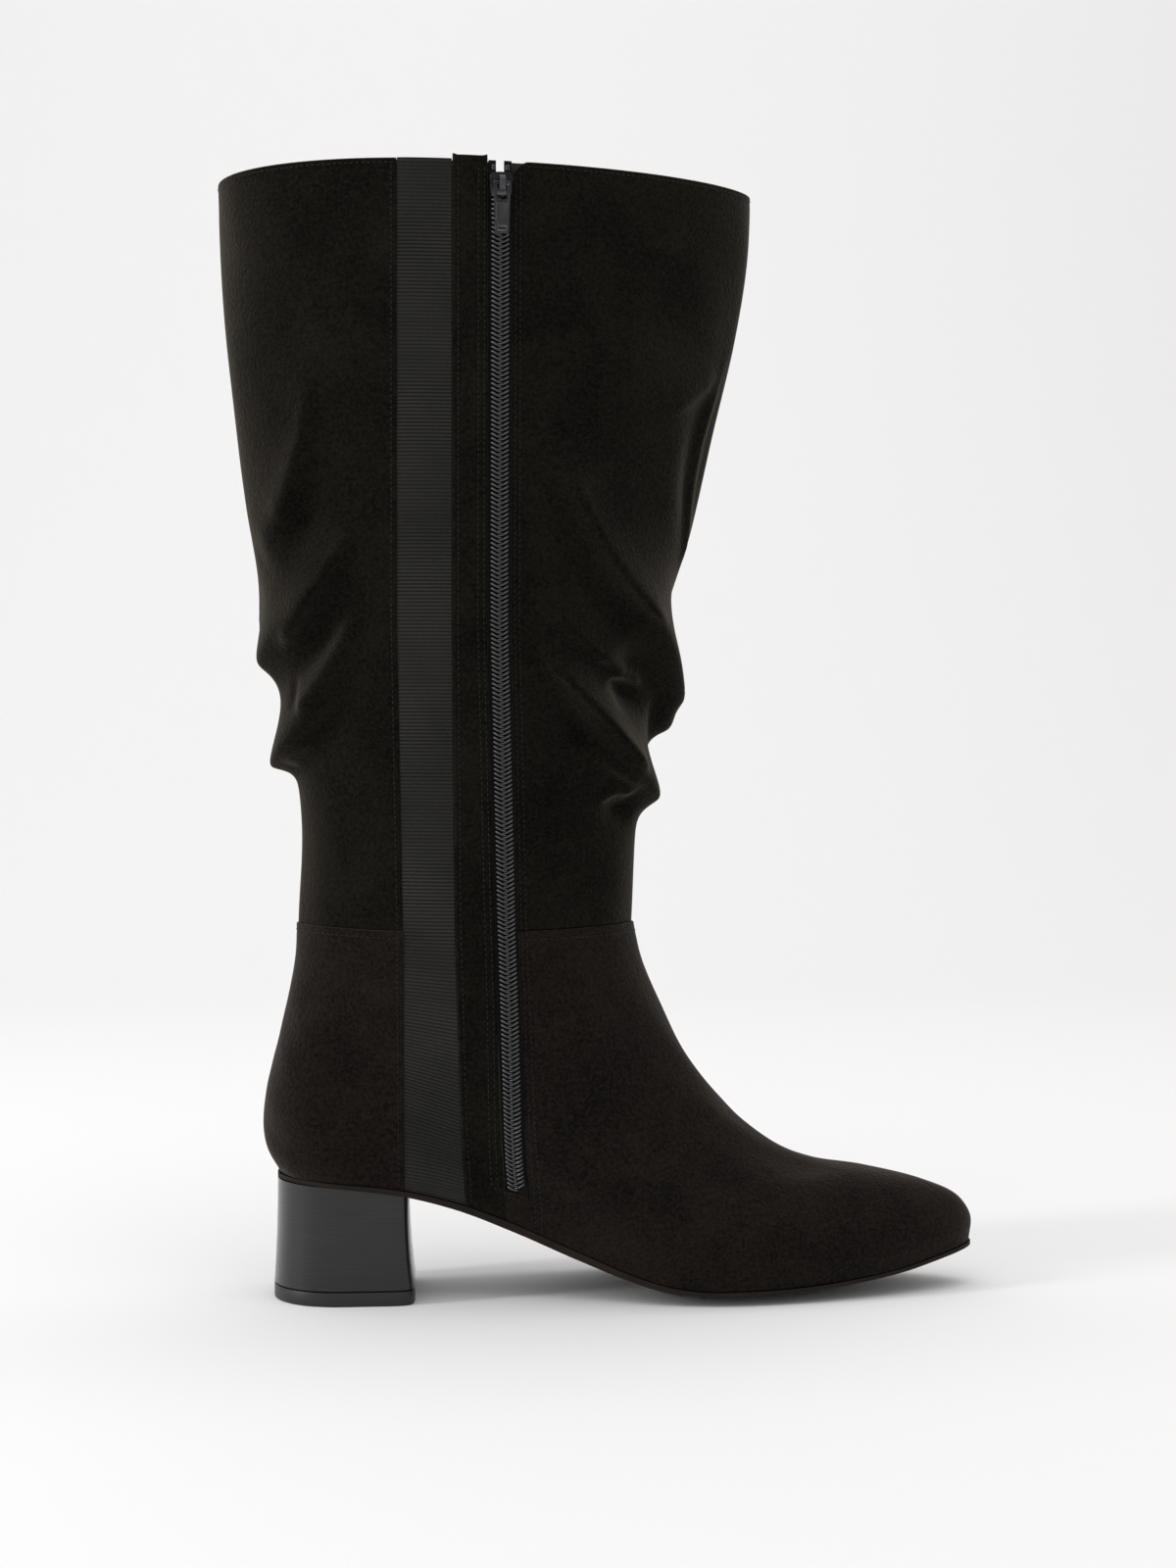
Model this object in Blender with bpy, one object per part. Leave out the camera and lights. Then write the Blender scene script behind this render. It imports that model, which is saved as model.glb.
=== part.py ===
"""Slouch boot, left foot: metres, +Z up, toe towards +X, inner side of the leg towards -Y."""
import math

import bpy
import numpy as np
from mathutils import Matrix, Vector

# Last and leg, in metres; the origin is on the floor under the middle of the heel
FOOT_LENGTH = 0.2655
HEEL_BACK = 0.0250
BALL_WIDTH = 0.0770
SEAT_HEIGHT = 0.0470
BALL_EDGE_HEIGHT = 0.0058
TOE_SPRING = 0.0112
COUNTER_SWELL = 0.0080
BARREL = 0.0035
ANKLE_HEIGHT = 0.1410
ANKLE_FRONT = 0.1090
ANKLE_BACK = 0.0177
ANKLE_WIDTH = 0.0680
SEAM_DIP = 0.0022
COLLAR_HEIGHT = 0.4190
COLLAR_FRONT = 0.1550
COLLAR_BACK = 0.0480
COLLAR_WIDTH = 0.0950

# Walls and clearances
WALL = 0.0018
GORE_WALL = 0.0013
SEAM_STEP = 0.0007
GAP = 0.0003
FOLD_LIFT = 0.0100
FOLD_DROOP = 0.45

# Strips on the inner side, measured along the boot
GORE_OFFSET = 0.0196
GORE_WIDTH = 0.0198
FACING_WIDTH = 0.0131
FACING_PROUD = 0.0015
ZIP_OPENING = 0.0090
ZIP_LEAN = 0.0076
ZIP_END_HEIGHT = 0.0404
TAPE_WALL = 0.0007
TAPE_DEPTH = 0.0015
COIL_WIDTH = 0.0066
COIL_THICKNESS = 0.0020

# Slider and pull tab
SLIDER_DROP = 0.0090
SLIDER_LENGTH = 0.0084
SLIDER_WIDTH = 0.0084
SLIDER_PLATE = 0.0010
POST_WIDTH = 0.0024
POST_LENGTH = 0.0022
BRIDGE_WIDTH = 0.0022
BRIDGE_SPAN = 0.0034
BRIDGE_BAR = 0.0010
PIVOT_CLEARANCE = 0.0004
TAB_LENGTH = 0.0186
TAB_WIDTH = 0.0064
TAB_END_WIDTH = 0.0050
TAB_THICKNESS = 0.0011
TAB_WINDOW = 0.0056

# Sole and heel
SOLE_EDGE = 0.0015
WAIST_EDGE = 0.0014
SOLE_CROWN = 0.0052
SOLE_PROUD = 0.0005
INSOLE_THICKNESS = 0.0018
INSOLE_CLEARANCE = 0.0009
HEEL_FRONT = 0.0264
HEEL_REACH = 0.0267
HEEL_WIDTH = 0.0516
HEEL_TAPER = 0.0018
LIFT_THICKNESS = 0.0056

# Faces along the walls
FRONT_COLUMNS = 16
OUTER_COLUMNS = 28
BACK_COLUMNS = 8
ACROSS_COLUMNS = 2

TOE = FOOT_LENGTH - HEEL_BACK
TOE_EDGE_HEIGHT = BALL_EDGE_HEIGHT + TOE_SPRING
SHAFT_LENGTH = COLLAR_HEIGHT - ANKLE_HEIGHT
ZIP_END_STEP = 1.5 * GAP / (ANKLE_HEIGHT - ZIP_END_HEIGHT)

# Leg from the ankle seam (height 0) to the collar (height 1). front, back and width go from
# the ankle's size (0) to the collar's (1), widest is the place of the widest point from the
# front, and point is 1 for a round front and more for a wedge.
SHAFT_COLUMNS = ("height", "front", "back", "width", "widest", "point")
SHAFT_SECTIONS = (
    (0.00, 0.00, 0.00, 0.00, 0.52, 1.00),
    (0.13, 0.04, -0.04, 0.04, 0.52, 1.01),
    (0.27, 0.13, 0.13, 0.15, 0.53, 1.03),
    (0.40, 0.25, 0.38, 0.30, 0.55, 1.08),
    (0.54, 0.52, 0.62, 0.47, 0.57, 1.15),
    (0.67, 0.69, 0.78, 0.64, 0.59, 1.22),
    (0.80, 0.87, 0.91, 0.80, 0.61, 1.27),
    (0.93, 0.99, 0.97, 0.94, 0.62, 1.30),
    (1.00, 1.00, 1.00, 1.00, 0.62, 1.30),
)

# Foot from the ankle seam (level 0) to the line where it meets the sole (level 1). reach and
# rise place the instep's ridge, drop and swell the counter's back; sag bends each section
# towards the sole's side curve, and plan turns it from the ankle's shape to the sole's.
FOOT_COLUMNS = ("level", "reach", "rise", "drop", "swell", "sag", "plan", "barrel")
FOOT_SECTIONS = (
    (0.00, 0.000, 1.000, 1.00, 0.00, 0.00, 0.00, 0.00),
    (0.10, 0.030, 0.875, 0.88, 0.03, 0.03, 0.06, 0.02),
    (0.20, 0.082, 0.742, 0.76, 0.15, 0.08, 0.16, 0.06),
    (0.30, 0.155, 0.597, 0.64, 0.35, 0.16, 0.30, 0.12),
    (0.40, 0.262, 0.448, 0.53, 0.61, 0.27, 0.46, 0.22),
    (0.45, 0.318, 0.385, 0.48, 0.71, 0.33, 0.54, 0.29),
    (0.50, 0.400, 0.320, 0.43, 0.79, 0.40, 0.62, 0.36),
    (0.60, 0.545, 0.255, 0.33, 0.97, 0.55, 0.75, 0.56),
    (0.70, 0.700, 0.229, 0.24, 1.00, 0.70, 0.86, 0.78),
    (0.80, 0.858, 0.190, 0.15, 0.85, 0.84, 0.93, 0.95),
    (0.90, 0.975, 0.124, 0.07, 0.52, 0.94, 0.98, 0.92),
    (0.95, 1.004, 0.068, 0.03, 0.25, 0.98, 1.00, 0.62),
    (1.00, 1.000, 0.000, 0.00, 0.00, 1.00, 1.00, 0.00),
)

# Sole's outline from the toe (station 0) to the heel (station 1). medial and lateral are
# shares of half the ball's width, times the rounding that both ends share.
PLAN_COLUMNS = ("station", "medial", "lateral")
PLAN_SECTIONS = (
    (0.00, 0.80, 0.80),
    (0.06, 0.82, 0.85),
    (0.12, 0.88, 0.92),
    (0.20, 0.94, 1.04),
    (0.30, 1.00, 1.09),
    (0.38, 0.99, 1.07),
    (0.46, 0.89, 1.00),
    (0.56, 0.71, 0.89),
    (0.66, 0.64, 0.84),
    (0.76, 0.74, 0.87),
    (0.86, 0.96, 1.00),
    (0.93, 1.25, 1.25),
    (1.00, 1.42, 1.42),
)

# Height of the line where upper and sole meet: the toe's spring, and the rise to the heel's
# seat, each as a share; waist says where the sole's edge is deeper and crown where its
# underside is rounded.
EDGE_COLUMNS = ("station", "spring", "seat", "waist", "crown")
EDGE_SECTIONS = (
    (0.00, 1.00, 0.000, 0.0, 0.10),
    (0.05, 0.74, 0.000, 0.0, 0.30),
    (0.11, 0.44, 0.000, 0.0, 0.55),
    (0.17, 0.24, 0.000, 0.0, 0.75),
    (0.23, 0.10, 0.000, 0.0, 0.88),
    (0.29, 0.03, 0.000, 0.0, 0.96),
    (0.35, 0.00, 0.000, 0.0, 1.00),
    (0.41, 0.00, 0.004, 0.1, 1.00),
    (0.45, 0.00, 0.035, 0.3, 0.92),
    (0.50, 0.00, 0.125, 0.6, 0.70),
    (0.58, 0.00, 0.330, 1.0, 0.40),
    (0.67, 0.00, 0.580, 1.0, 0.15),
    (0.75, 0.00, 0.778, 0.7, 0.05),
    (0.82, 0.00, 0.890, 0.3, 0.00),
    (0.91, 0.00, 0.965, 0.0, 0.00),
    (1.00, 0.00, 1.000, 0.0, 0.00),
)

# Places of the strips' edges, shares of the zip's lean; level 0 is the collar, 1 the ankle
# seam and 2 the sole's edge.
STRIP_COLUMNS = ("level", "gore_back", "gore_front", "zip")
STRIP_SECTIONS = (
    (0.0, 0.00, 0.00, 0.00),
    (0.6, 0.00, 0.02, 0.00),
    (1.0, 0.28, 0.17, 0.36),
    (2.0, 0.37, 0.72, 1.00),
)

# Main folds of the leg. round is the place around it (0 front, 0.25 inner side, 0.5 back,
# negative on the outer side), high the height between ankle seam and collar, at the fold's
# start, middle and end. lift is a share of FOLD_LIFT, peak is where along the fold it is
# highest, and above and below are how far it runs out to each side, as shares of the leg.
FOLD_COLUMNS = ("round_1", "high_1", "round_2", "high_2", "round_3", "high_3",
                "lift", "peak", "above", "below")
FOLDS = {
    "upper_front_roll": (0.182, 0.600, 0.080, 0.420, -0.060, 0.315, 1.05, 0.76, 0.041, 0.036),
    "upper_front_tuck": (0.140, 0.300, 0.100, 0.335, 0.020, 0.300, -0.40, 0.50, 0.030, 0.030),
    "inner_front_ridge": (0.205, 0.560, 0.160, 0.430, 0.090, 0.350, 0.32, 0.50, 0.036, 0.034),
    "lower_front_roll": (0.200, 0.440, 0.125, 0.268, -0.050, 0.158, 0.82, 0.74, 0.040, 0.028),
    "lower_front_tuck": (0.140, 0.145, 0.100, 0.160, 0.030, 0.140, -0.22, 0.50, 0.026, 0.026),
    "front_pleat": (0.040, 0.830, 0.042, 0.640, 0.000, 0.450, -0.18, 0.60, 0.050, 0.050),
    "back_high_ridge": (0.370, 0.680, 0.400, 0.570, 0.450, 0.480, 0.32, 0.55, 0.045, 0.036),
    "back_middle_ridge": (0.350, 0.520, 0.405, 0.425, 0.530, 0.345, 0.62, 0.74, 0.046, 0.034),
    "back_roll": (0.335, 0.410, 0.400, 0.290, 0.530, 0.212, 0.92, 0.74, 0.046, 0.022),
    "outer_front_roll": (-0.220, 0.520, -0.120, 0.360, 0.020, 0.270, 0.95, 0.78, 0.050, 0.034),
    "outer_front_low_roll": (-0.230, 0.380, -0.150, 0.250, -0.010, 0.170, 0.60, 0.60, 0.045, 0.030),
    "outer_side_ridge": (-0.310, 0.520, -0.250, 0.400, -0.180, 0.330, 0.40, 0.50, 0.050, 0.040),
    "outer_back_ridge": (-0.340, 0.560, -0.410, 0.430, -0.500, 0.370, 0.50, 0.65, 0.055, 0.036),
    "outer_back_roll": (-0.310, 0.400, -0.390, 0.285, -0.490, 0.212, 0.80, 0.70, 0.046, 0.024),
}


def clear_scene():
    for item in list(bpy.data.objects):
        bpy.data.objects.remove(item, do_unlink=True)


def column(columns, rows, name):
    return np.array([row[columns.index(name)] for row in rows])


def smooth(columns, rows, name, share):
    """A smooth curve through one column of a table, read at the given shares."""
    stops = column(columns, rows, columns[0])
    values = column(columns, rows, name)
    share = np.clip(share, stops[0], stops[-1])
    slopes = np.gradient(values, stops)
    place = np.clip(np.searchsorted(stops, share, side="right") - 1, 0, len(stops) - 2)
    step = stops[place + 1] - stops[place]
    u = (share - stops[place]) / step
    start, end = values[place], values[place + 1]
    lean_in, lean_out = slopes[place] * step, slopes[place + 1] * step
    return (start * (1 + 2 * u) * (1 - u) ** 2 + lean_in * u * (1 - u) ** 2
            + end * u ** 2 * (3 - 2 * u) - lean_out * u ** 2 * (1 - u))


def mix(first, second, share):
    return first + (second - first) * share


def edge_height(station):
    """Height of the line where the upper meets the sole."""
    spring = smooth(EDGE_COLUMNS, EDGE_SECTIONS, "spring", station)
    seat = smooth(EDGE_COLUMNS, EDGE_SECTIONS, "seat", station)
    return BALL_EDGE_HEIGHT + spring * TOE_SPRING + seat * (SEAT_HEIGHT - BALL_EDGE_HEIGHT)


def plan_half_width(station, inner):
    medial = smooth(PLAN_COLUMNS, PLAN_SECTIONS, "medial", station)
    lateral = smooth(PLAN_COLUMNS, PLAN_SECTIONS, "lateral", station)
    rounding = 2 * np.sqrt(np.clip(station * (1 - station), 0, 1))
    return np.where(inner, medial, lateral) * rounding * BALL_WIDTH / 2


def leg_half_width(high, share):
    """Half width of the leg's section, share of the way from its front to its back."""
    width = mix(ANKLE_WIDTH, COLLAR_WIDTH, smooth(SHAFT_COLUMNS, SHAFT_SECTIONS, "width", high))
    widest = smooth(SHAFT_COLUMNS, SHAFT_SECTIONS, "widest", high)
    point = smooth(SHAFT_COLUMNS, SHAFT_SECTIONS, "point", high)
    ahead = share < widest
    reach = np.where(ahead, (widest - share) / widest, (share - widest) / (1 - widest))
    power = np.where(ahead, point, 1.0) / 2
    return width / 2 * np.clip(1 - reach ** 2, 0, 1) ** power


def section_ends(level):
    """Front and back points of the section at a level: x and z of each."""
    high = np.clip(1 - level, 0, 1)
    low = np.clip(level - 1, 0, 1)
    front_x = mix(ANKLE_FRONT, COLLAR_FRONT, smooth(SHAFT_COLUMNS, SHAFT_SECTIONS, "front", high))
    back_x = -mix(ANKLE_BACK, COLLAR_BACK, smooth(SHAFT_COLUMNS, SHAFT_SECTIONS, "back", high))
    leg_z = mix(ANKLE_HEIGHT, COLLAR_HEIGHT, 1 - level)
    in_leg = level <= 1
    foot_front_x = mix(ANKLE_FRONT, TOE, smooth(FOOT_COLUMNS, FOOT_SECTIONS, "reach", low))
    foot_front_z = mix(TOE_EDGE_HEIGHT, ANKLE_HEIGHT,
                       smooth(FOOT_COLUMNS, FOOT_SECTIONS, "rise", low))
    foot_back_x = (-mix(ANKLE_BACK, HEEL_BACK, low)
                   - COUNTER_SWELL * smooth(FOOT_COLUMNS, FOOT_SECTIONS, "swell", low))
    foot_back_z = mix(SEAT_HEIGHT, ANKLE_HEIGHT, smooth(FOOT_COLUMNS, FOOT_SECTIONS, "drop", low))
    return (np.where(in_leg, front_x, foot_front_x), np.where(in_leg, leg_z, foot_front_z),
            np.where(in_leg, back_x, foot_back_x), np.where(in_leg, leg_z, foot_back_z))


def base_surface(level, angle):
    """The boot's outside without folds. angle 0 is the front, pi the back, and positive
    angles are on the inner side."""
    level, angle = np.broadcast_arrays(level, angle)
    share = (1 - np.cos(angle)) / 2
    inner = np.sin(angle) > 0
    low = np.clip(level - 1, 0, 1)
    front_x, front_z, back_x, back_z = section_ends(level)
    x = mix(front_x, back_x, share)
    chord = mix(TOE_EDGE_HEIGHT, SEAT_HEIGHT, share)
    sag = smooth(FOOT_COLUMNS, FOOT_SECTIONS, "sag", low) * (edge_height(share) - chord)
    seam = 4 * share * (1 - share) * SEAM_DIP * np.clip(1 - abs(level - 1) / 0.5, 0, 1) ** 2
    z = mix(front_z, back_z, share) + sag - seam
    plan = smooth(FOOT_COLUMNS, FOOT_SECTIONS, "plan", low)
    barrel = smooth(FOOT_COLUMNS, FOOT_SECTIONS, "barrel", low)
    rounding = 2 * np.sqrt(np.clip(share * (1 - share), 0, 1))
    leg = leg_half_width(np.clip(1 - level, 0, 1), share)
    half = mix(leg, plan_half_width(share, inner), plan) + BARREL * barrel * rounding
    y = np.where(inner, -half, half)
    return np.stack([x, y, z], axis=-1)


def base_normal(level, angle):
    step = 1e-4
    along = base_surface(level + step, angle) - base_surface(level - step, angle)
    around = base_surface(level, angle + step) - base_surface(level, angle - step)
    normal = np.cross(around, along)
    return normal / np.linalg.norm(normal, axis=-1, keepdims=True)


def fold_height(level, angle):
    """How far the folds lift the leg's surface, as a share of FOLD_LIFT."""
    girth = 1.1 * (COLLAR_FRONT + COLLAR_BACK + COLLAR_WIDTH) / SHAFT_LENGTH
    high = 1 - level
    total = np.zeros(np.broadcast(level, angle).shape)
    t = np.linspace(0, 1, 25)
    start, middle, end = (1 - t) * (1 - 2 * t), 4 * t * (1 - t), t * (2 * t - 1)
    for fold in FOLDS.values():
        size = dict(zip(FOLD_COLUMNS, fold))
        path_round = start * size["round_1"] + middle * size["round_2"] + end * size["round_3"]
        path_high = start * size["high_1"] + middle * size["high_2"] + end * size["high_3"]
        rise = np.where(t < size["peak"], t / size["peak"], (1 - t) / (1 - size["peak"]))
        taper = rise * rise * (3 - 2 * rise)
        place = np.asarray(angle)[..., None] / (2 * np.pi)
        across = (place - path_round + 0.5) % 1.0 - 0.5
        up = np.asarray(high)[..., None] - path_high
        distance = np.sqrt((across * girth) ** 2 + up ** 2)
        nearest = distance.argmin(axis=-1)
        side = np.take_along_axis(up, nearest[..., None], -1)[..., 0]
        spread = np.where(side > 0, size["above"], size["below"])
        bump = np.exp(-(distance.min(axis=-1) / spread) ** 2)
        total = total + size["lift"] * taper[nearest] * bump
    fade = np.clip(high / 0.08, 0, 1) * np.clip((1 - high) / 0.10, 0, 1)
    return total * fade * strip_fade(level, angle)


def strip_place(level, name):
    """Distance in front of the heel's centre of one of the strips' edges."""
    lean = np.interp(level, column(STRIP_COLUMNS, STRIP_SECTIONS, "level"),
                     column(STRIP_COLUMNS, STRIP_SECTIONS, name))
    start = {"gore_back": GORE_OFFSET,
             "gore_front": GORE_OFFSET + GORE_WIDTH,
             "zip": GORE_OFFSET + GORE_WIDTH + FACING_WIDTH + ZIP_OPENING / 2}[name]
    return start + ZIP_LEAN * lean


def angle_at(level, x):
    """Angle of the point on the inner side that lies at x on the section at a level."""
    front_x, front_z, back_x, back_z = section_ends(level)
    share = np.clip((front_x - x) / (front_x - back_x), 0, 1)
    return np.arccos(1 - 2 * share)


def strip_fade(level, angle):
    """The stiff gore and zip hold the folds down: 0 along them and 1 away from them."""
    front_x, front_z, back_x, back_z = section_ends(level)
    x = mix(front_x, back_x, (1 - np.cos(angle)) / 2)
    ahead = x - (strip_place(level, "zip") + ZIP_OPENING)
    behind = strip_place(level, "gore_back") - x
    away = np.clip(np.maximum(ahead, behind) / (1.6 * GORE_WIDTH), 0, 1)
    return np.where(np.sin(angle) > 0, away * away * (3 - 2 * away), 1.0)


def surface(level, angle):
    """The boot's outside with its folds, and the direction out of it."""
    level, angle = np.broadcast_arrays(np.asarray(level, float), np.asarray(angle, float))
    point = base_surface(level, angle)
    normal = base_normal(level, angle)
    lift = FOLD_LIFT * fold_height(level, angle)[..., None]
    droop = np.array([0, 0, -FOLD_DROOP]) * np.clip(lift, 0, None)
    return point + normal * lift + droop, normal


def leg_levels():
    """Sections of the leg: close together where it is folded."""
    runs = ((0.0, 0.50, 7), (0.50, 0.62, 3), (0.62, 0.84, 11), (0.84, 1.0, 3))
    rows = [np.linspace(start, end, count + 1)[:-1] for start, end, count in runs]
    levels = np.concatenate(rows + [[1.0]])
    levels[-1] -= GAP / 2 / SHAFT_LENGTH
    return levels


def foot_levels():
    start = 1 + GAP / 2 / (ANKLE_HEIGHT - SEAT_HEIGHT)
    rows = (1.09, 1.19, 1.29, 1.39, 1.48, 1.57, 1.66, 1.74, 1.81, 1.86, 1.90, 1.94, 1.97, 2.0)
    return np.concatenate([[start], rows])


def level_at(x, height):
    """Level at which the inner side passes a height, at a given distance along the boot."""
    levels = np.linspace(1.0, 2.0, 400)
    heights = base_surface(levels, angle_at(levels, x))[..., 2]
    return float(np.interp(-height, -heights, levels))


def outward(vertices, faces):
    """Turn every face round if the closed mesh is inside out."""
    volume = 0.0
    for face in faces:
        for i in range(1, len(face) - 1):
            a, b, c = vertices[face[0]], vertices[face[i]], vertices[face[i + 1]]
            volume += np.dot(a, np.cross(b, c))
    if volume > 0:
        return faces
    return [tuple(reversed(face)) for face in faces]


def material(name, colour, roughness, metallic=0.0):
    made = bpy.data.materials.get(name)
    if made:
        return made
    made = bpy.data.materials.new(name)
    made.use_nodes = True
    shader = made.node_tree.nodes["Principled BSDF"]
    shader.inputs["Base Color"].default_value = (*colour, 1.0)
    shader.inputs["Roughness"].default_value = roughness
    shader.inputs["Metallic"].default_value = metallic
    return made


def add_object(name, vertices, faces, finish, origin=None, sharp_degrees=80):
    """A closed, smooth-shaded object. origin is its frame, in which its vertices are given."""
    mesh = bpy.data.meshes.new(name)
    vertices = np.asarray(vertices, float)
    mesh.from_pydata(vertices.tolist(), [], outward(vertices, faces))
    mesh.shade_smooth()
    mesh.set_sharp_from_angle(angle=math.radians(sharp_degrees))
    mesh.materials.append(finish)
    made = bpy.data.objects.new(name, mesh)
    if origin is not None:
        made.matrix_world = origin
    bpy.context.scene.collection.objects.link(made)
    return made


def shell(name, first, second, finish):
    """Closed wall between two grids of points of the same shape."""
    rows, columns = first.shape[:2]
    vertices = np.concatenate([first.reshape(-1, 3), second.reshape(-1, 3)])
    other = rows * columns

    def at(i, j, skin):
        return skin * other + i * columns + j

    faces = []
    for i in range(rows - 1):
        for j in range(columns - 1):
            faces.append((at(i, j, 0), at(i, j + 1, 0), at(i + 1, j + 1, 0), at(i + 1, j, 0)))
            faces.append((at(i, j, 1), at(i + 1, j, 1), at(i + 1, j + 1, 1), at(i, j + 1, 1)))
    for j in range(columns - 1):
        faces.append((at(0, j, 0), at(0, j, 1), at(0, j + 1, 1), at(0, j + 1, 0)))
        faces.append((at(rows - 1, j, 0), at(rows - 1, j + 1, 0),
                      at(rows - 1, j + 1, 1), at(rows - 1, j, 1)))
    for i in range(rows - 1):
        faces.append((at(i, 0, 0), at(i + 1, 0, 0), at(i + 1, 0, 1), at(i, 0, 1)))
        faces.append((at(i, columns - 1, 0), at(i, columns - 1, 1),
                      at(i + 1, columns - 1, 1), at(i + 1, columns - 1, 0)))
    return add_object(name, vertices, faces, finish)


def panel(name, levels, angles, outside, inside, finish):
    """A piece of the boot's wall: outside and inside are its skins' places off the surface."""
    point, normal = surface(levels[:, None], angles)
    outer = point + normal * np.asarray(outside, float).reshape(-1, 1, 1)
    inner = point + normal * np.asarray(inside, float).reshape(-1, 1, 1)
    return shell(name, outer, inner, finish)


def strip_angles(levels, start, end, columns):
    """Angles of a strip between two lines along the boot, given as distances at each level."""
    first = angle_at(levels, start)
    last = angle_at(levels, end)
    return mix(first[:, None], last[:, None], np.linspace(0, 1, columns)[None, :])


def zip_end_level():
    return level_at(strip_place(2.0, "zip"), ZIP_END_HEIGHT)


def front_edge(levels):
    """Back edge of the front wall: beside the zip, and below its end beside the facing."""
    beside_zip = strip_place(levels, "zip") + ZIP_OPENING / 2
    beside_facing = strip_place(levels, "zip") - ZIP_OPENING / 2 + GAP / 2
    return np.where(levels > zip_end_level() + ZIP_END_STEP, beside_facing, beside_zip)


def outer_angles():
    """Angles over the outer side from front to back, a little closer in the middle."""
    share = np.linspace(0, 1, OUTER_COLUMNS + 1)
    return np.pi * (share + 0.04 * np.sin(2 * np.pi * share))


def wrap_angles(levels):
    """Angles of a wall that runs from the zip round the front and the outer side to the gore."""
    first = angle_at(levels, front_edge(levels))
    last = angle_at(levels, strip_place(levels, "gore_back") - GAP)
    ahead = first[:, None] * np.linspace(1, 0, FRONT_COLUMNS + 1)[None, :-1]
    round_back = np.broadcast_to(-outer_angles(), (len(levels), OUTER_COLUMNS + 1))
    behind = mix(-np.pi, last[:, None] - 2 * np.pi, np.linspace(0, 1, BACK_COLUMNS + 1)[None, 1:])
    return np.concatenate([ahead, round_back, behind], axis=1)


def inner_angles():
    """Angles along the inner side of the sole, at the columns of the walls above it."""
    front = angle_at(np.array([2.0]), front_edge(np.array([2.0])))[0]
    gore_front = angle_at(np.array([2.0]), strip_place(2.0, "gore_front"))[0]
    gore_back = angle_at(np.array([2.0]), strip_place(2.0, "gore_back"))[0]
    stops = ((0.0, front, FRONT_COLUMNS), (front, gore_front, ACROSS_COLUMNS),
             (gore_front, gore_back, ACROSS_COLUMNS), (gore_back, np.pi, BACK_COLUMNS))
    runs = [np.linspace(start, end, count + 1)[:-1] for start, end, count in stops]
    return np.concatenate(runs + [[np.pi]])


def with_zip_end(levels):
    """Two more sections, just above and just below the zip's end."""
    end = zip_end_level()
    kept = levels[abs(levels - end) > 0.02]
    return np.sort(np.concatenate([kept, [end, end + 2 * ZIP_END_STEP]]))


def make_leg_and_foot():
    suede = material("suede", (0.012, 0.011, 0.010), 0.9)
    levels = leg_levels()
    panel("shaft", levels, wrap_angles(levels), [0.0] * len(levels), [-WALL] * len(levels), suede)
    levels = with_zip_end(foot_levels())
    step = SEAM_STEP * np.exp(-(levels - 1) / 0.12)
    panel("upper", levels, wrap_angles(levels), step, step - WALL, suede)


def make_strips():
    webbing = material("gore_webbing", (0.030, 0.033, 0.031), 0.8)
    suede = material("suede", (0.012, 0.011, 0.010), 0.9)
    levels = np.concatenate([leg_levels()[::2], foot_levels()[1:]])
    gore = strip_angles(levels, strip_place(levels, "gore_back"),
                        strip_place(levels, "gore_front"), ACROSS_COLUMNS + 1)
    panel("elastic_gore", levels, gore, [-GAP] * len(levels), [-GAP - GORE_WALL] * len(levels),
          webbing)
    levels[0] = -FACING_PROUD / SHAFT_LENGTH
    facing = strip_angles(levels, strip_place(levels, "gore_front") + GAP,
                          strip_place(levels, "zip") - ZIP_OPENING / 2 - GAP / 2,
                          ACROSS_COLUMNS + 1)
    panel("zip_facing", levels, facing, [0.0] * len(levels), [-WALL] * len(levels), suede)


def slider_level():
    return SLIDER_DROP / SHAFT_LENGTH


def make_zip():
    """Tapes, and the closed coil between them. Above the slider the tapes part."""
    tape = material("zip_tape", (0.010, 0.010, 0.010), 0.85)
    coil = material("zip_coil", (0.08, 0.08, 0.085), 0.35)
    zip_end = zip_end_level()
    half = SLIDER_LENGTH / 2 / SHAFT_LENGTH
    post = POST_LENGTH / SHAFT_LENGTH
    closed = slider_level() - half + post + 2 * GAP / SHAFT_LENGTH
    levels = leg_levels()[1::2]
    low = foot_levels()[1::2]
    levels = np.concatenate([[closed], levels[levels > closed + 0.02], low[low < zip_end - 0.02],
                             [zip_end - ZIP_END_STEP]])
    middle = strip_place(levels, "zip")
    reach = ZIP_OPENING / 2 - GAP
    opened = np.concatenate([[0.0, closed - 1e-3], levels])
    centre = strip_place(opened, "zip")
    spread = np.where(opened < closed, POST_WIDTH / 2 + GAP, GAP / 2)
    outside = [-TAPE_DEPTH + TAPE_WALL] * len(opened)
    inside = [-TAPE_DEPTH] * len(opened)
    back = strip_angles(opened, centre - reach, centre - spread, 2)
    front = strip_angles(opened, centre + spread, centre + reach, 2)
    panel("zip_tape_back", opened, back, outside, inside, tape)
    panel("zip_tape_front", opened, front, outside, inside, tape)
    chain = strip_angles(levels, middle - COIL_WIDTH / 2, middle + COIL_WIDTH / 2, 3)
    bottom = -TAPE_DEPTH + TAPE_WALL + GAP
    panel("zip_coil", levels, chain, [bottom + COIL_THICKNESS] * len(levels),
          [bottom] * len(levels), coil)


def zip_frame(depth):
    """Frame at the slider: X towards the toe across the zip, Y up along it, Z out of it."""
    level = slider_level()
    angle = angle_at(np.array(level), strip_place(level, "zip"))
    point, normal = surface(level, angle)
    below, _ = surface(level + 0.01, angle_at(np.array(level + 0.01), strip_place(level, "zip")))
    out = Vector(normal).normalized()
    up = Vector(point - below).normalized()
    across = up.cross(out).normalized()
    up = out.cross(across)
    frame = Matrix((across, up, out)).transposed().to_4x4()
    frame.translation = Vector(point) + out * depth
    return frame


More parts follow.
